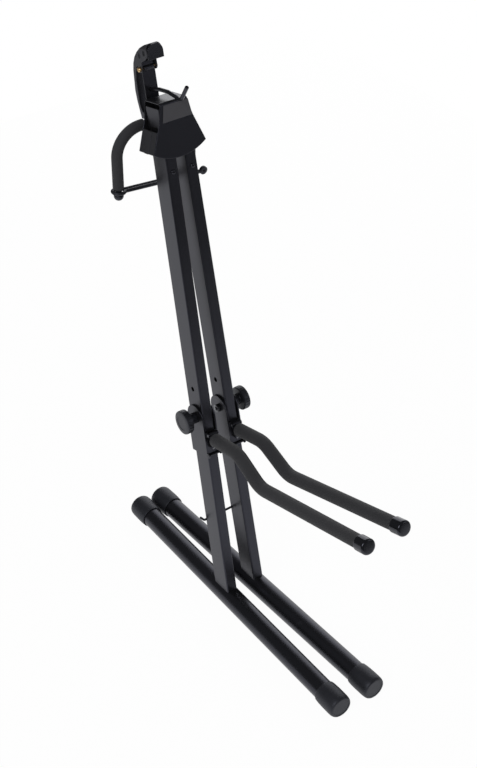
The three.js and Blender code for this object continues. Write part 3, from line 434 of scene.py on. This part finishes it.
# %% Block and nuts
dress("yoke_bearing", "head", "plastic", width=0.0008, segments=3)
dress("cross_nut", "head", "brass")
for hand in HANDS:
    dress(f"leg_nut_{hand}", f"leg_{hand}", "zinc")
    dress(f"clamp_nut_{hand}", f"carriage_{hand}", "zinc")
    dress(f"clamp_screw_{hand}", f"clamp_{hand}", "zinc")
    dress(f"arm_pin_{hand}", f"carriage_{hand}", "zinc", width=0.0003)
print("dressed the block, nuts and pins")

# %% [markdown]
# Caps, rivets, collars and knobs are turned: each has one profile that goes round an
# axis. A circle is added at the first radius, and then extruded and resized once for
# every step of the profile, which is how a turner cuts it. The open ends are filled,
# unless the profile comes back to its start. Profiles are written in millimetres, as on
# a workshop drawing.

# %% Turning a piece
NEW_MERGE = 0.000005
SAME_RADIUS = 1e-6


def turned(profile, place, start=(0, 0, 0), direction=(0, 0, 1), sides=48, closed=True):
    axis = Vector(direction).normalized()
    first_radius, first_height = profile[0]
    deselect()
    bpy.ops.mesh.primitive_circle_add(
        vertices=sides, radius=first_radius, location=(0, 0, first_height))
    piece = bpy.context.object
    edit(piece)
    for (radius, height), (next_radius, next_height) in zip(profile, profile[1:]):
        bpy.ops.mesh.extrude_region_move(
            TRANSFORM_OT_translate={"value": (0, 0, next_height - height)})
        ratio = next_radius / radius
        if abs(ratio - 1) > SAME_RADIUS:
            bpy.ops.transform.resize(value=(ratio, ratio, 1), center_override=(0, 0, next_height))
    bpy.ops.mesh.select_all(action="SELECT")
    bpy.ops.mesh.remove_doubles(threshold=NEW_MERGE)
    if closed:
        bpy.ops.mesh.fill_holes(sides=0)
        bpy.ops.mesh.select_all(action="SELECT")
    bpy.ops.mesh.normals_make_consistent(inside=False)
    leave_edit()
    turn = axis.to_track_quat("Z", "Y").to_matrix().to_4x4()
    lift = Matrix.Translation((0, 0, first_height))
    piece.matrix_world = place @ Matrix.Translation(start) @ turn @ lift
    return piece


def mm(*pairs):
    return [(radius * MILLIMETRE, height * MILLIMETRE) for radius, height in pairs]


print("ready to turn")

# %% [markdown]
# The head's rivets are closed over with a low domed head. One profile, worked out from
# four measures, serves the pivots of the legs, the rivets of the post and, further on,
# the rivet of the wire hook.

# %% Rivets of the head
BACKWARDS = (0, 1, 0)
PIVOT_FRONT = -0.0216
POST_RIVET_SIDE = 0.006
POST_RIVET_BACK = 0.01955
POST_RIVET_HEIGHT = 0.791


def domed_rivet(shank_radius, shank, head_radius, head_height):
    return mm(
        (shank_radius * 0.92, 0), (shank_radius, 0.2), (shank_radius, shank), (head_radius, shank),
        (head_radius, shank + head_height * 0.2), (head_radius * 0.88, shank + head_height * 0.62),
        (head_radius * 0.6, shank + head_height * 0.9), (head_radius * 0.2, shank + head_height))


PIVOT = domed_rivet(shank_radius=4, shank=43.5, head_radius=4.9, head_height=2.2)
POST_RIVET = domed_rivet(shank_radius=2.2, shank=4.85, head_radius=3.6, head_height=1.6)
for hand, side in HANDS.items():
    pivot_start = (side * PIVOT_SIDE, PIVOT_FRONT, PIVOT_HEIGHT)
    pivot = turned(PIVOT, head_frame, pivot_start, BACKWARDS, sides=32)
    hand_in(pivot, f"leg_pivot_{hand}", "head", "black_paint")
    rivet_start = (side * POST_RIVET_SIDE, POST_RIVET_BACK, POST_RIVET_HEIGHT)
    rivet = turned(POST_RIVET, head_frame, rivet_start, BACKWARDS, sides=32)
    hand_in(rivet, f"post_rivet_{hand}", "head", "black_paint")
print("pivots are", in_mm(size_of("leg_pivot_left").y), "mm deep")

# %% [markdown]
# The brass screw is the one bright spot of the stand: a pan head with a driver slot,
# which a thin block cuts out. The block is turned a little, because screws never stop
# square.

# %% Brass cross screw
SCREW = [(1.0, -3.6), (2.9, -3.5), (3.6, -2.8), (3.8, -2.0), (3.8, 0), (2, 0), (2, 29.0), (1.7, 29.5)]
SCREW_SEAT = (-0.0139, 0.0369, 0.9025)
SLOT_MIDDLE = (-0.0173, 0.0369, 0.9025)
SLOT_SIZE = (0.0024, 0.0009, 0.0120)
SLOT_TURN = math.radians(35)

screw = turned(mm(*SCREW), head_frame, SCREW_SEAT, (1, 0, 0), sides=40)
bpy.ops.mesh.primitive_cube_add(size=1, location=(0, 0, 0))
slot_cutter = bpy.context.object
slot_cutter.matrix_world = (
    head_frame @ Matrix.Translation(SLOT_MIDDLE) @ Matrix.Rotation(SLOT_TURN, 4, "X")
    @ Matrix.Diagonal((*SLOT_SIZE, 1)))
cut = screw.modifiers.new("slot", "BOOLEAN")
cut.operation = "DIFFERENCE"
cut.object = slot_cutter
bpy.context.view_layer.objects.active = screw
bpy.ops.object.modifier_apply(modifier=cut.name)
bpy.data.objects.remove(slot_cutter)
hand_in(screw, "cross_screw", "head", "brass")
print("cross screw has", len(screw.data.polygons), "faces")

# %% [markdown]
# On the housing's front sits a thin grey plate, quite bare. It is a copy of its solid
# too, with a soft edge all round, so narrow that it only just catches the light.

# %% Bare plate
dress("label_plate", "head", "label", width=0.00015)

# %% [markdown]
# Round bar that is bent cold keeps its section through the bend. A circle is drawn
# across the start of the bar, extruded along each straight, and spun about the middle
# of each bend. The same call makes the foam sleeves, which follow their bars exactly.
# The two end faces are the only ones with more than four corners, so they are easy to
# pick out when the ends are rounded.

# %% Bending a bar
SIDE_CORNERS = 4


def bent_bar(corners, fillet, radius, sides=24, steps=10):
    corners = [Vector(corner) for corner in corners]
    heading = (corners[1] - corners[0]).normalized()
    deselect()
    bpy.ops.mesh.primitive_circle_add(
        vertices=sides, radius=radius, location=corners[0],
        rotation=heading.to_track_quat("Z", "Y").to_euler())
    piece = bpy.context.object
    bpy.ops.object.transform_apply(location=True, rotation=True, scale=True)
    edit(piece)
    here = corners[0]
    for corner, after in zip(corners[1:], corners[2:] + [None]):
        if after is None:
            bpy.ops.mesh.extrude_region_move(TRANSFORM_OT_translate={"value": corner - here})
            break
        leaving = (after - corner).normalized()
        turn = heading.angle(leaving)
        tangent = fillet * math.tan(turn / 2)
        bend_start = corner - heading * tangent
        bpy.ops.mesh.extrude_region_move(TRANSFORM_OT_translate={"value": bend_start - here})
        axis = heading.cross(leaving).normalized()
        middle = bend_start + axis.cross(heading) * fillet
        bpy.ops.mesh.spin(steps=steps, angle=-turn, center=middle, axis=axis)
        here = corner + leaving * tangent
        heading = leaving
    bpy.ops.mesh.select_all(action="SELECT")
    bpy.ops.mesh.remove_doubles(threshold=NEW_MERGE)
    bpy.ops.mesh.fill_holes(sides=0)
    bpy.ops.mesh.select_all(action="SELECT")
    bpy.ops.mesh.normals_make_consistent(inside=False)
    leave_edit()
    reach = max((vertex.co - corners[-1]).length for vertex in piece.data.vertices)
    print("a bent bar reaches", in_mm(reach), "mm from its last corner")
    return piece


def edit_faces(piece, wanted):
    edit(piece, "DESELECT")
    bpy.ops.mesh.select_mode(type="FACE")
    leave_edit()
    for polygon in piece.data.polygons:
        polygon.select = wanted(polygon)
    bpy.ops.object.mode_set(mode="EDIT")


def leave_faces():
    bpy.ops.mesh.select_mode(type="VERT")
    leave_edit()


def is_end(polygon):
    return len(polygon.vertices) > SIDE_CORNERS


def round_ends(piece, width, segments=3):
    edit_faces(piece, is_end)
    bpy.ops.mesh.bevel(offset=width, segments=segments, affect="EDGES")
    leave_faces()


print("ready to bend")

# %% [markdown]
# The bow hook is one rod. It lies over the top of the housing, dips in front of it and
# turns up at the tip, so its line needs only a few corners and one bend radius.

# %% Bow hook
BOW_HOOK_LINE = [
    (0, 0.0357, 0.8689), (0, 0.012, 0.8722), (0, -0.010, 0.8722), (0, -0.028, 0.8686),
    (0, -0.043, 0.8650), (0, -0.065, 0.8884)]
BOW_HOOK_BEND = 0.012
BOW_HOOK_RADIUS = 0.0031

bow_hook = bent_bar(in_frame(head_frame, *BOW_HOOK_LINE), BOW_HOOK_BEND, BOW_HOOK_RADIUS)
round_ends(bow_hook, width=0.0011)
hand_in(bow_hook, "bow_hook", "head", "black_paint")
print("bow hook has", len(bow_hook.data.polygons), "faces")

# %% [markdown]
# The hook lever is one pressed channel that curves over the top, with a rubber plug in
# its front end. Its solid has the true outline, so a copy with rolled edges is enough.
# The screw that holds the yoke's bearing block is dressed with them.

# %% Hook lever and its plug
# The lever's paler coat is painted light for its lit flanges.
dress("hook_lever", "lever", "black_paint", width=0.0003, smooth=40, finish=painted_light_coat)
dress("hook_pad", "lever", "rubber", smooth=40, finish=smooth_rubber)
dress("bearing_screw", "head", "zinc", width=0.0003)
print("hook lever stands", in_mm(size_of("hook_lever").z), "mm tall")

# %% [markdown]
# The yoke is one bent bar in two foam sleeves, with a collar on each side of the bearing
# block that it turns in. The sleeves end in moulded ends: a flange that keeps the foam
# on, a neck for the strap, and a ball that keeps the strap on. The right arm is the
# longer one, so the strap runs a little downhill to the right.

# %% Yoke bar, collars, foam and ends
YOKE_HALF = 0.0664
YOKE_BEND = 0.043
LONG_ARM = 0.013
YOKE_ROD_RADIUS = 0.004
YOKE_ROD_ARM = 0.1097
YOKE_FOAM_RADIUS = 0.0088
YOKE_FOAM_START = 0.0168
YOKE_FOAM_ARM = 0.0937
END_TOP = 0.0940
COLLAR_START = 0.0115
COLLAR = [(4.4, 0), (5.1, 0), (5.4, 0.3), (5.4, 4.7), (5.1, 5), (4.4, 5), (4.4, 0)]
END_NECK = [
    (4.3, 0), (7.3, 0), (7.8, 0.35), (7.8, 0.95), (7.4, 1.25), (5.6, 1.5), (5.2, 2.0), (5.2, 9.1),
    (5.6, 9.7), (7.3, 10.0), (7.8, 10.6)]
BALL_RADIUS = 7.8
BALL_MIDDLE = 12.7
BALL_ANGLES = (0, 0.3, 0.6, 0.9, 1.2, 1.4, 1.52)
END_BALL = [
    (BALL_RADIUS * math.cos(angle), BALL_MIDDLE + BALL_RADIUS * math.sin(angle)) for angle in BALL_ANGLES]


def arm_point(side, length):
    extra = LONG_ARM if side > 0 else 0
    return (side * YOKE_HALF, 0, -length - extra)


yoke_rod = bent_bar(in_frame(
    yoke_frame, arm_point(-1, YOKE_ROD_ARM), (-YOKE_HALF, 0, 0), (YOKE_HALF, 0, 0),
    arm_point(1, YOKE_ROD_ARM)),
    YOKE_BEND, YOKE_ROD_RADIUS)
hand_in(yoke_rod, "yoke_rod", "yoke", "black_paint")
for hand, side in HANDS.items():
    sleeve = bent_bar(in_frame(
        yoke_frame, (side * YOKE_FOAM_START, 0, 0), (side * YOKE_HALF, 0, 0),
        arm_point(side, YOKE_FOAM_ARM)),
        YOKE_BEND, YOKE_FOAM_RADIUS, sides=40, steps=16)
    round_ends(sleeve, width=0.0014)
    hand_in(sleeve, f"yoke_foam_{hand}", "yoke", "foam", smooth=45)
    end = turned(mm(*END_NECK, *END_BALL), yoke_frame, arm_point(side, END_TOP), (0, 0, -1), sides=40)
    hand_in(end, f"yoke_end_{hand}", "yoke", "plastic", smooth=40)
    collar_start = (side * COLLAR_START, 0, 0)
    collar = turned(mm(*COLLAR), yoke_frame, collar_start, (side, 0, 0), sides=40, closed=False)
    hand_in(collar, f"yoke_collar_{hand}", "yoke", "plastic")
print("yoke is", in_mm(YOKE_HALF * 2), "mm between its arms")

# %% [markdown]
# The strap is a loop of rubber cord, stretched round the necks of both ends, so its two
# strands lie close together between them. Each half of the loop is bent like a bar, and
# the two are joined where they meet.

# %% Loop of the strap
CORD_RADIUS = 0.0029
LOOP_HALF = 0.0090
LOOP_BEND = LOOP_HALF * 0.88
PINCH_HALF = 0.0032
PINCH_END = YOKE_HALF - 0.0105
FLARE_HALF = 0.0081
FLARE_START = YOKE_HALF - 0.0045
NECK_DROP = 0.0996
HALVES_MERGE = 0.0004


def strap_height(across):
    return -NECK_DROP - LONG_ARM * (across + YOKE_HALF) / (2 * YOKE_HALF)


def half_strap(side):
    far = side * (YOKE_HALF + LOOP_HALF)
    outward = [
        (0, PINCH_HALF), (side * PINCH_END, PINCH_HALF), (side * FLARE_START, FLARE_HALF),
        (far, LOOP_HALF)]
    homeward = [(across, -apart) for across, apart in reversed(outward)]
    line = [(across, apart, strap_height(across)) for across, apart in outward + homeward]
    return bent_bar(in_frame(yoke_frame, *line), LOOP_BEND, CORD_RADIUS, sides=24, steps=14)


def join_to(piece, *others):
    deselect()
    for part in (piece, *others):
        part.select_set(True)
    bpy.context.view_layer.objects.active = piece
    bpy.ops.object.join()


strap = half_strap(-1)
other_half = half_strap(1)
for half in (strap, other_half):
    edit_faces(half, is_end)
    bpy.ops.mesh.delete(type="ONLY_FACE")
    leave_faces()
join_to(strap, other_half)
edit(strap)
bpy.ops.mesh.remove_doubles(threshold=HALVES_MERGE)
bpy.ops.mesh.normals_make_consistent(inside=False)
leave_edit()
print("loop of the strap has", len(strap.data.polygons), "faces")

# %% [markdown]
# A flat pull ring is moulded on at the right end of the strap, on a short link. The ring
# is turned, and its profile comes back to its start, which leaves the hole. The link is
# a straight bar. Both become one piece with the loop.

# %% Pull ring of the strap
RING = [
    (1.7, 0.4), (2.1, 0), (6.3, 0), (6.8, 0.5), (6.8, 4.3), (6.3, 4.8), (2.1, 4.8), (1.7, 4.4), (1.7, 0.4)]
RING_REACH = 0.0909
RING_FRONT = -0.0024
LINK_START = YOKE_HALF + 0.0100
LINK_END = RING_REACH - 0.0045
LINK_RADIUS = 0.0033

ring_height = strap_height(YOKE_HALF + LOOP_HALF)
ring_start = (RING_REACH, RING_FRONT, ring_height)
pull_ring = turned(mm(*RING), yoke_frame, ring_start, BACKWARDS, sides=40, closed=False)
link_line = in_frame(yoke_frame, (LINK_START, 0, ring_height), (LINK_END, 0, ring_height))
link = bent_bar(link_line, 0, LINK_RADIUS)
join_to(strap, pull_ring, link)
hand_in(strap, "strap", "yoke", "rubber", smooth=60)
print("strap with its ring has", len(strap.data.polygons), "faces")

# %% [markdown]
# Each foot is a round tube, open at both ends under its caps. The caps are slightly
# barrel-shaped rubber, with a thin lip where they grip the tube and a shallow dish in
# the end face. The barrel is given as shares of its full radius and of its length.

# %% Foot tubes and caps
TUBE_LENGTH = 582.5
TUBE_RADIUS = 17.5
TUBE_BORE = 15.7
TUBE_FRONT = -0.310
TUBE = [
    (TUBE_BORE, 0), (TUBE_RADIUS, 0), (TUBE_RADIUS, TUBE_LENGTH), (TUBE_BORE, TUBE_LENGTH), (TUBE_BORE, 0)]
CAP_RADIUS = 20.5
CAP_LENGTH = 43.5
FRONT_CAP_LIP = -0.2735
BACK_CAP_LIP = 0.2360
BARREL_WIDTHS = [0.95, 0.962, 0.975, 0.986, 0.994, 1, 1, 1, 0.996, 0.985, 0.965, 0.935, 0.895, 0.85]
BARREL_PLACES = [0.012, 0.06, 0.13, 0.2, 0.3, 0.42, 0.55, 0.7, 0.79, 0.86, 0.92, 0.958, 0.985, 1]
CAP_LIP = [(17.7, 8), (17.7, 0.4), (18.1, 0), (19.1, 0)]
CAP_BARREL = [
    (CAP_RADIUS * width, CAP_LENGTH * along) for width, along in zip(BARREL_WIDTHS, BARREL_PLACES)]
CAP_DISH = [(15.6, CAP_LENGTH), (15.0, 42.9), (0.8, 42.9)]
CAP = mm(*CAP_LIP, *CAP_BARREL, *CAP_DISH)
for hand, side in HANDS.items():
    tube = turned(mm(*TUBE), foot_frame(side), (0, TUBE_FRONT, 0), BACKWARDS, sides=72, closed=False)
    hand_in(tube, f"foot_tube_{hand}", f"leg_{hand}", "black_paint")
    front = turned(CAP, foot_frame(side), (0, FRONT_CAP_LIP, 0), (0, -1, 0), sides=64)
    hand_in(front, f"front_foot_cap_{hand}", f"leg_{hand}", "rubber", smooth=40)
    back = turned(CAP, foot_frame(side), (0, BACK_CAP_LIP, 0), BACKWARDS, sides=64)
    hand_in(back, f"back_foot_cap_{hand}", f"leg_{hand}", "rubber", smooth=40)
print("foot tubes are", in_mm(size_of("foot_tube_left").y), "mm long")

# %% [markdown]
# The leg bolts have low domed heads with a socket. The socket is part of the turned
# profile: it starts at the bottom of the hole. The stop pins and the rivet of the wire
# hook are turned as well, while the wire hook and the stop screws are dressed solids.

# %% Leg bolts, pins and the wire hook
BOLT = [
    (1.1, -0.9), (1.15, -1.9), (1.5, -2.0), (2.4, -1.9), (3.2, -1.4), (3.65, -0.7), (3.75, 0), (2, 0),
    (2, 41.9), (1.7, 42.2)]
BOLT_SEAT = (0, -0.0193, 0.755)
STOP_PIN = [
    (1.7, 0), (1.8, 0.2), (1.8, 26.0), (2.6, 26.0), (2.7, 26.3), (2.7, 28.0), (2.3, 28.8), (1.2, 29.1)]
STOP_PIN_START = (-0.0127, -0.0237, 0.2778)
HOOK_RIVET = domed_rivet(shank_radius=2, shank=6.3, head_radius=4.5, head_height=1.8)
HOOK_RIVET_START = (0, 0.0171, 0.140)
for hand, side in HANDS.items():
    bolt = turned(mm(*BOLT), leg_frame(side), BOLT_SEAT, BACKWARDS, sides=32)
    hand_in(bolt, f"leg_bolt_{hand}", f"leg_{hand}", "black_paint", smooth=40, finish=bolt_paint)
    pin = turned(mm(*STOP_PIN), leg_frame(side), STOP_PIN_START, (1, 0, 0), sides=32)
    hand_in(pin, f"stop_pin_{hand}", f"carriage_{hand}", "black_paint")
    dress(f"stop_screw_{hand}", f"carriage_{hand}", "zinc", width=0.0003)
dress("fold_hook", "fold_hook", "black_paint", smooth=50)
hook_rivet = turned(HOOK_RIVET, leg_frame(1), HOOK_RIVET_START, BACKWARDS, sides=32)
hand_in(hook_rivet, "fold_hook_rivet", "leg_right", "black_paint", smooth=40)
print("bolts and pins are in")

# %% [markdown]
# The hand knobs are moulded discs with ridges to grip, on a plain hub. A ring of faces
# runs round the disc. One in four of them is pushed in, which makes 24 grooves.

# %% Hand knobs
KNOB = [
    (4.4, 0), (8.6, 0), (9.0, 0.4), (9.0, 12.6), (9.6, 13.6), (11, 13.9), (17.9, 13.9), (19.6, 14.7),
    (20, 15.9), (20, 23.4), (19.6, 24.6), (17.9, 25.4), (12.5, 25.6), (11.9, 25.1), (0.8, 25.1)]
KNOB_SEAT = 0.0130
CLAMP_HEIGHT = 0.340
GRIP_WALL = (0.0192, 0.0205)
GRIP_BAND = (0.016, 0.0235)
GROOVE_STEP = 15
GROOVE_WIDTH = 3.8
GROOVE_DEPTH = 0.0009


def is_groove(polygon):
    centre = polygon.center
    on_wall = GRIP_WALL[0] < math.hypot(centre.x, centre.y) < GRIP_WALL[1]
    in_band = GRIP_BAND[0] < centre.z < GRIP_BAND[1]
    angle = math.degrees(math.atan2(centre.y, centre.x)) % GROOVE_STEP
    return on_wall and in_band and angle < GROOVE_WIDTH


for hand, side in HANDS.items():
    knob_start = (side * KNOB_SEAT, 0, CLAMP_HEIGHT)
    knob = turned(mm(*KNOB), leg_frame(side), knob_start, (side, 0, 0), sides=96)
    edit_faces(knob, is_groove)
    bpy.ops.mesh.inset(thickness=0.0, depth=-GROOVE_DEPTH, use_individual=False)
    leave_faces()
    hand_in(knob, f"clamp_knob_{hand}", f"clamp_{hand}", "plastic", smooth=25)
print("each knob's grip has", round(360 / GROOVE_STEP), "grooves")

# %% [markdown]
# Each arm is a solid bar with a flat heel at its pin, two bends, and a foam sleeve. In
# its leg's frame it runs straight out to the elbow, drops to the knee and then rises a
# little to its end, splayed outwards all the way. Two functions give the places on it.

# %% Line of the arms
ARM_HEIGHT = 0.3055
ARM_DROP = 0.0397
ARM_RISE = 0.0147
ARM_PIN = 0.0216
ARM_ELBOW = 0.097
ARM_KNEE = 0.153
ARM_END = 0.4295
ARM_SPLAY = math.tan(math.radians(1.4))
ARM_BEND = 0.042


def arm_place(side, reach, height):
    return (side * (reach - ARM_PIN) * ARM_SPLAY, -reach, height)


def past_knee(side, reach):
    rise = ARM_RISE * (reach - ARM_KNEE) / (ARM_END - ARM_KNEE)
    return arm_place(side, reach, ARM_HEIGHT - ARM_DROP + rise)


print("right arm ends at", [round(value, 4) for value in past_knee(1, ARM_END)], "in its leg's frame")

# %% [markdown]
# The bar shows only at the heel, so it is a dressed copy of its solid. The sleeve follows
# the same line, a little thicker, and a glossy cap with a round edge closes the end.

# %% Arm bars, sleeves and caps
ARM_FOAM_START = 0.031
ARM_FOAM_RADIUS = 0.011
ARM_CAP_GAP = 0.0003
ARM_CAP_LENGTH = 22.0
ARM_CAP_REACH = ARM_CAP_LENGTH * MILLIMETRE
ARM_CAP_RADIUS = 12.8
ARM_CAP_EDGE = 3.6
EDGE_ANGLES = (0, 0.25, 0.5, 0.75, 1.0, 1.25, math.pi / 2)


def cap_edge(angle):
    radius = ARM_CAP_RADIUS - ARM_CAP_EDGE * (1 - math.cos(angle))
    return radius, ARM_CAP_LENGTH - ARM_CAP_EDGE * (1 - math.sin(angle))


ARM_CAP = mm(
    (6.7, 0.3), (11.3, 0), (12.2, 0.15), (12.7, 0.6), (ARM_CAP_RADIUS, 1.4),
    *[cap_edge(angle) for angle in EDGE_ANGLES], (0.8, ARM_CAP_LENGTH))
for hand, side in HANDS.items():
    dress(f"arm_rod_{hand}", f"arm_{hand}", "black_paint", width=0.0005, smooth=45)
    sleeve = bent_bar(in_frame(
        leg_frame(side), arm_place(side, ARM_FOAM_START, ARM_HEIGHT),
        arm_place(side, ARM_ELBOW, ARM_HEIGHT), past_knee(side, ARM_KNEE),
        past_knee(side, ARM_END - ARM_CAP_REACH - ARM_CAP_GAP)),
        ARM_BEND, ARM_FOAM_RADIUS, sides=48, steps=14)
    round_ends(sleeve, width=0.0018)
    hand_in(sleeve, f"arm_foam_{hand}", f"arm_{hand}", "foam", smooth=45)
    cap_start = Vector(past_knee(side, ARM_END - ARM_CAP_REACH))
    cap_tip = Vector(past_knee(side, ARM_END))
    cap = turned(ARM_CAP, leg_frame(side), cap_start, cap_tip - cap_start, sides=64)
    hand_in(cap, f"arm_cap_{hand}", f"arm_{hand}", "gloss_plastic", smooth=50)

# %% [markdown]
# The photograph has a plain white ground with almost no shadow. The floor is a pale
# sheet of limited size, as in a studio: the glossy lower faces mirror it, and where it
# ends they turn dark. Nearly all that the camera sees of it is plain white light, so
# only a trace of the stand's shadow stays.

# %% Floor
FLOOR_SIZE = 3.2
FLOOR_MIDDLE = (-0.1, 0.2, 0)
FLOOR_WHITE = 0.97
FLOOR_MATT = (0.86, 0.86, 0.86, 1)

deselect()
bpy.ops.mesh.primitive_plane_add(size=FLOOR_SIZE, location=FLOOR_MIDDLE)
floor = bpy.context.object
floor.name = "studio_floor"
floor_finish = bpy.data.materials.new("studio_white")
floor_finish.use_nodes = True
floor_nodes = floor_finish.node_tree.nodes
floor_nodes.clear()
floor_links = floor_finish.node_tree.links
paths = floor_nodes.new("ShaderNodeLightPath")
seen = Wire(paths.outputs["Is Camera Ray"]) + Wire(paths.outputs["Is Transmission Ray"])
seen = (seen + Wire(paths.outputs["Is Glossy Ray"])).at_most(FLOOR_WHITE)
matt = floor_nodes.new("ShaderNodeBsdfDiffuse")
matt.inputs["Color"].default_value = FLOOR_MATT
white = floor_nodes.new("ShaderNodeEmission")
white.inputs["Strength"].default_value = 1.0
mixed = floor_nodes.new("ShaderNodeMixShader")
floor_output = floor_nodes.new("ShaderNodeOutputMaterial")
floor_links.new(seen.socket, mixed.inputs[0])
floor_links.new(matt.outputs[0], mixed.inputs[1])
floor_links.new(white.outputs[0], mixed.inputs[2])
floor_links.new(mixed.outputs[0], floor_output.inputs["Surface"])
floor.data.materials.append(floor_finish)
print("floor is", FLOOR_SIZE, "m wide")

# %% [markdown]
# The world is white to the camera, lights the stand evenly at a lower level, and is
# nearly dark in reflections: above the floor's edge the gloss of the black coat shows
# the dark room.

# %% World
SKY_LIGHT = 0.4
SKY_MIRRORED = 0.12

world = bpy.data.worlds.new("white_studio")
bpy.context.scene.world = world
world.use_nodes = True
sky = world.node_tree.nodes["Background"]
sky.inputs["Color"].default_value = (1, 1, 1, 1)
sky_paths = world.node_tree.nodes.new("ShaderNodeLightPath")
sky_seen = Wire(sky_paths.outputs["Is Camera Ray"]) + Wire(sky_paths.outputs["Is Transmission Ray"])
sky_glossy = Wire(sky_paths.outputs["Is Glossy Ray"])
sky_unseen = SKY_LIGHT - sky_glossy * (SKY_LIGHT - SKY_MIRRORED)
sky_strength = (sky_seen + (1 - sky_seen) * sky_unseen).at_most(1.0)
world.node_tree.links.new(sky_strength.socket, sky.inputs["Strength"])
print("world lights the stand at", SKY_LIGHT, "of full white")

# %% [markdown]
# Three soft lamps are enough. A wide one stands high on the left, where the photograph's
# pale edges come from. A weak one fills from the right, so that the far leg's inner faces
# stay dark but not empty. The third stands low at the right back and draws the broad pale
# band along the upper right of every tube.

# %% Lamps
def soft_lamp(name, place, target, size, watts):
    data = bpy.data.lights.new(name, "AREA")
    data.shape = "SQUARE"
    data.size = size
    data.energy = watts
    lamp = bpy.data.objects.new(name, data)
    bpy.context.scene.collection.objects.link(lamp)
    lamp.location = place
    lamp.rotation_euler = (Vector(target) - Vector(place)).to_track_quat("-Z", "Y").to_euler()
    return lamp


soft_lamp("key_lamp", place=(-2.6, -1.0, 2.6), target=(0, 0, 0.45), size=1.8, watts=50)
soft_lamp("fill_lamp", place=(2.2, -2.4, 1.6), target=(0, 0, 0.45), size=1.8, watts=10)
soft_lamp("back_lamp", place=(1.9, 2.0, 1.0), target=(0, 0, 0.3), size=2.8, watts=38)
print("three soft lamps")

# %% [markdown]
# Colours come out as they are written under the Standard view.

# %% View
bpy.context.scene.view_settings.view_transform = "Standard"
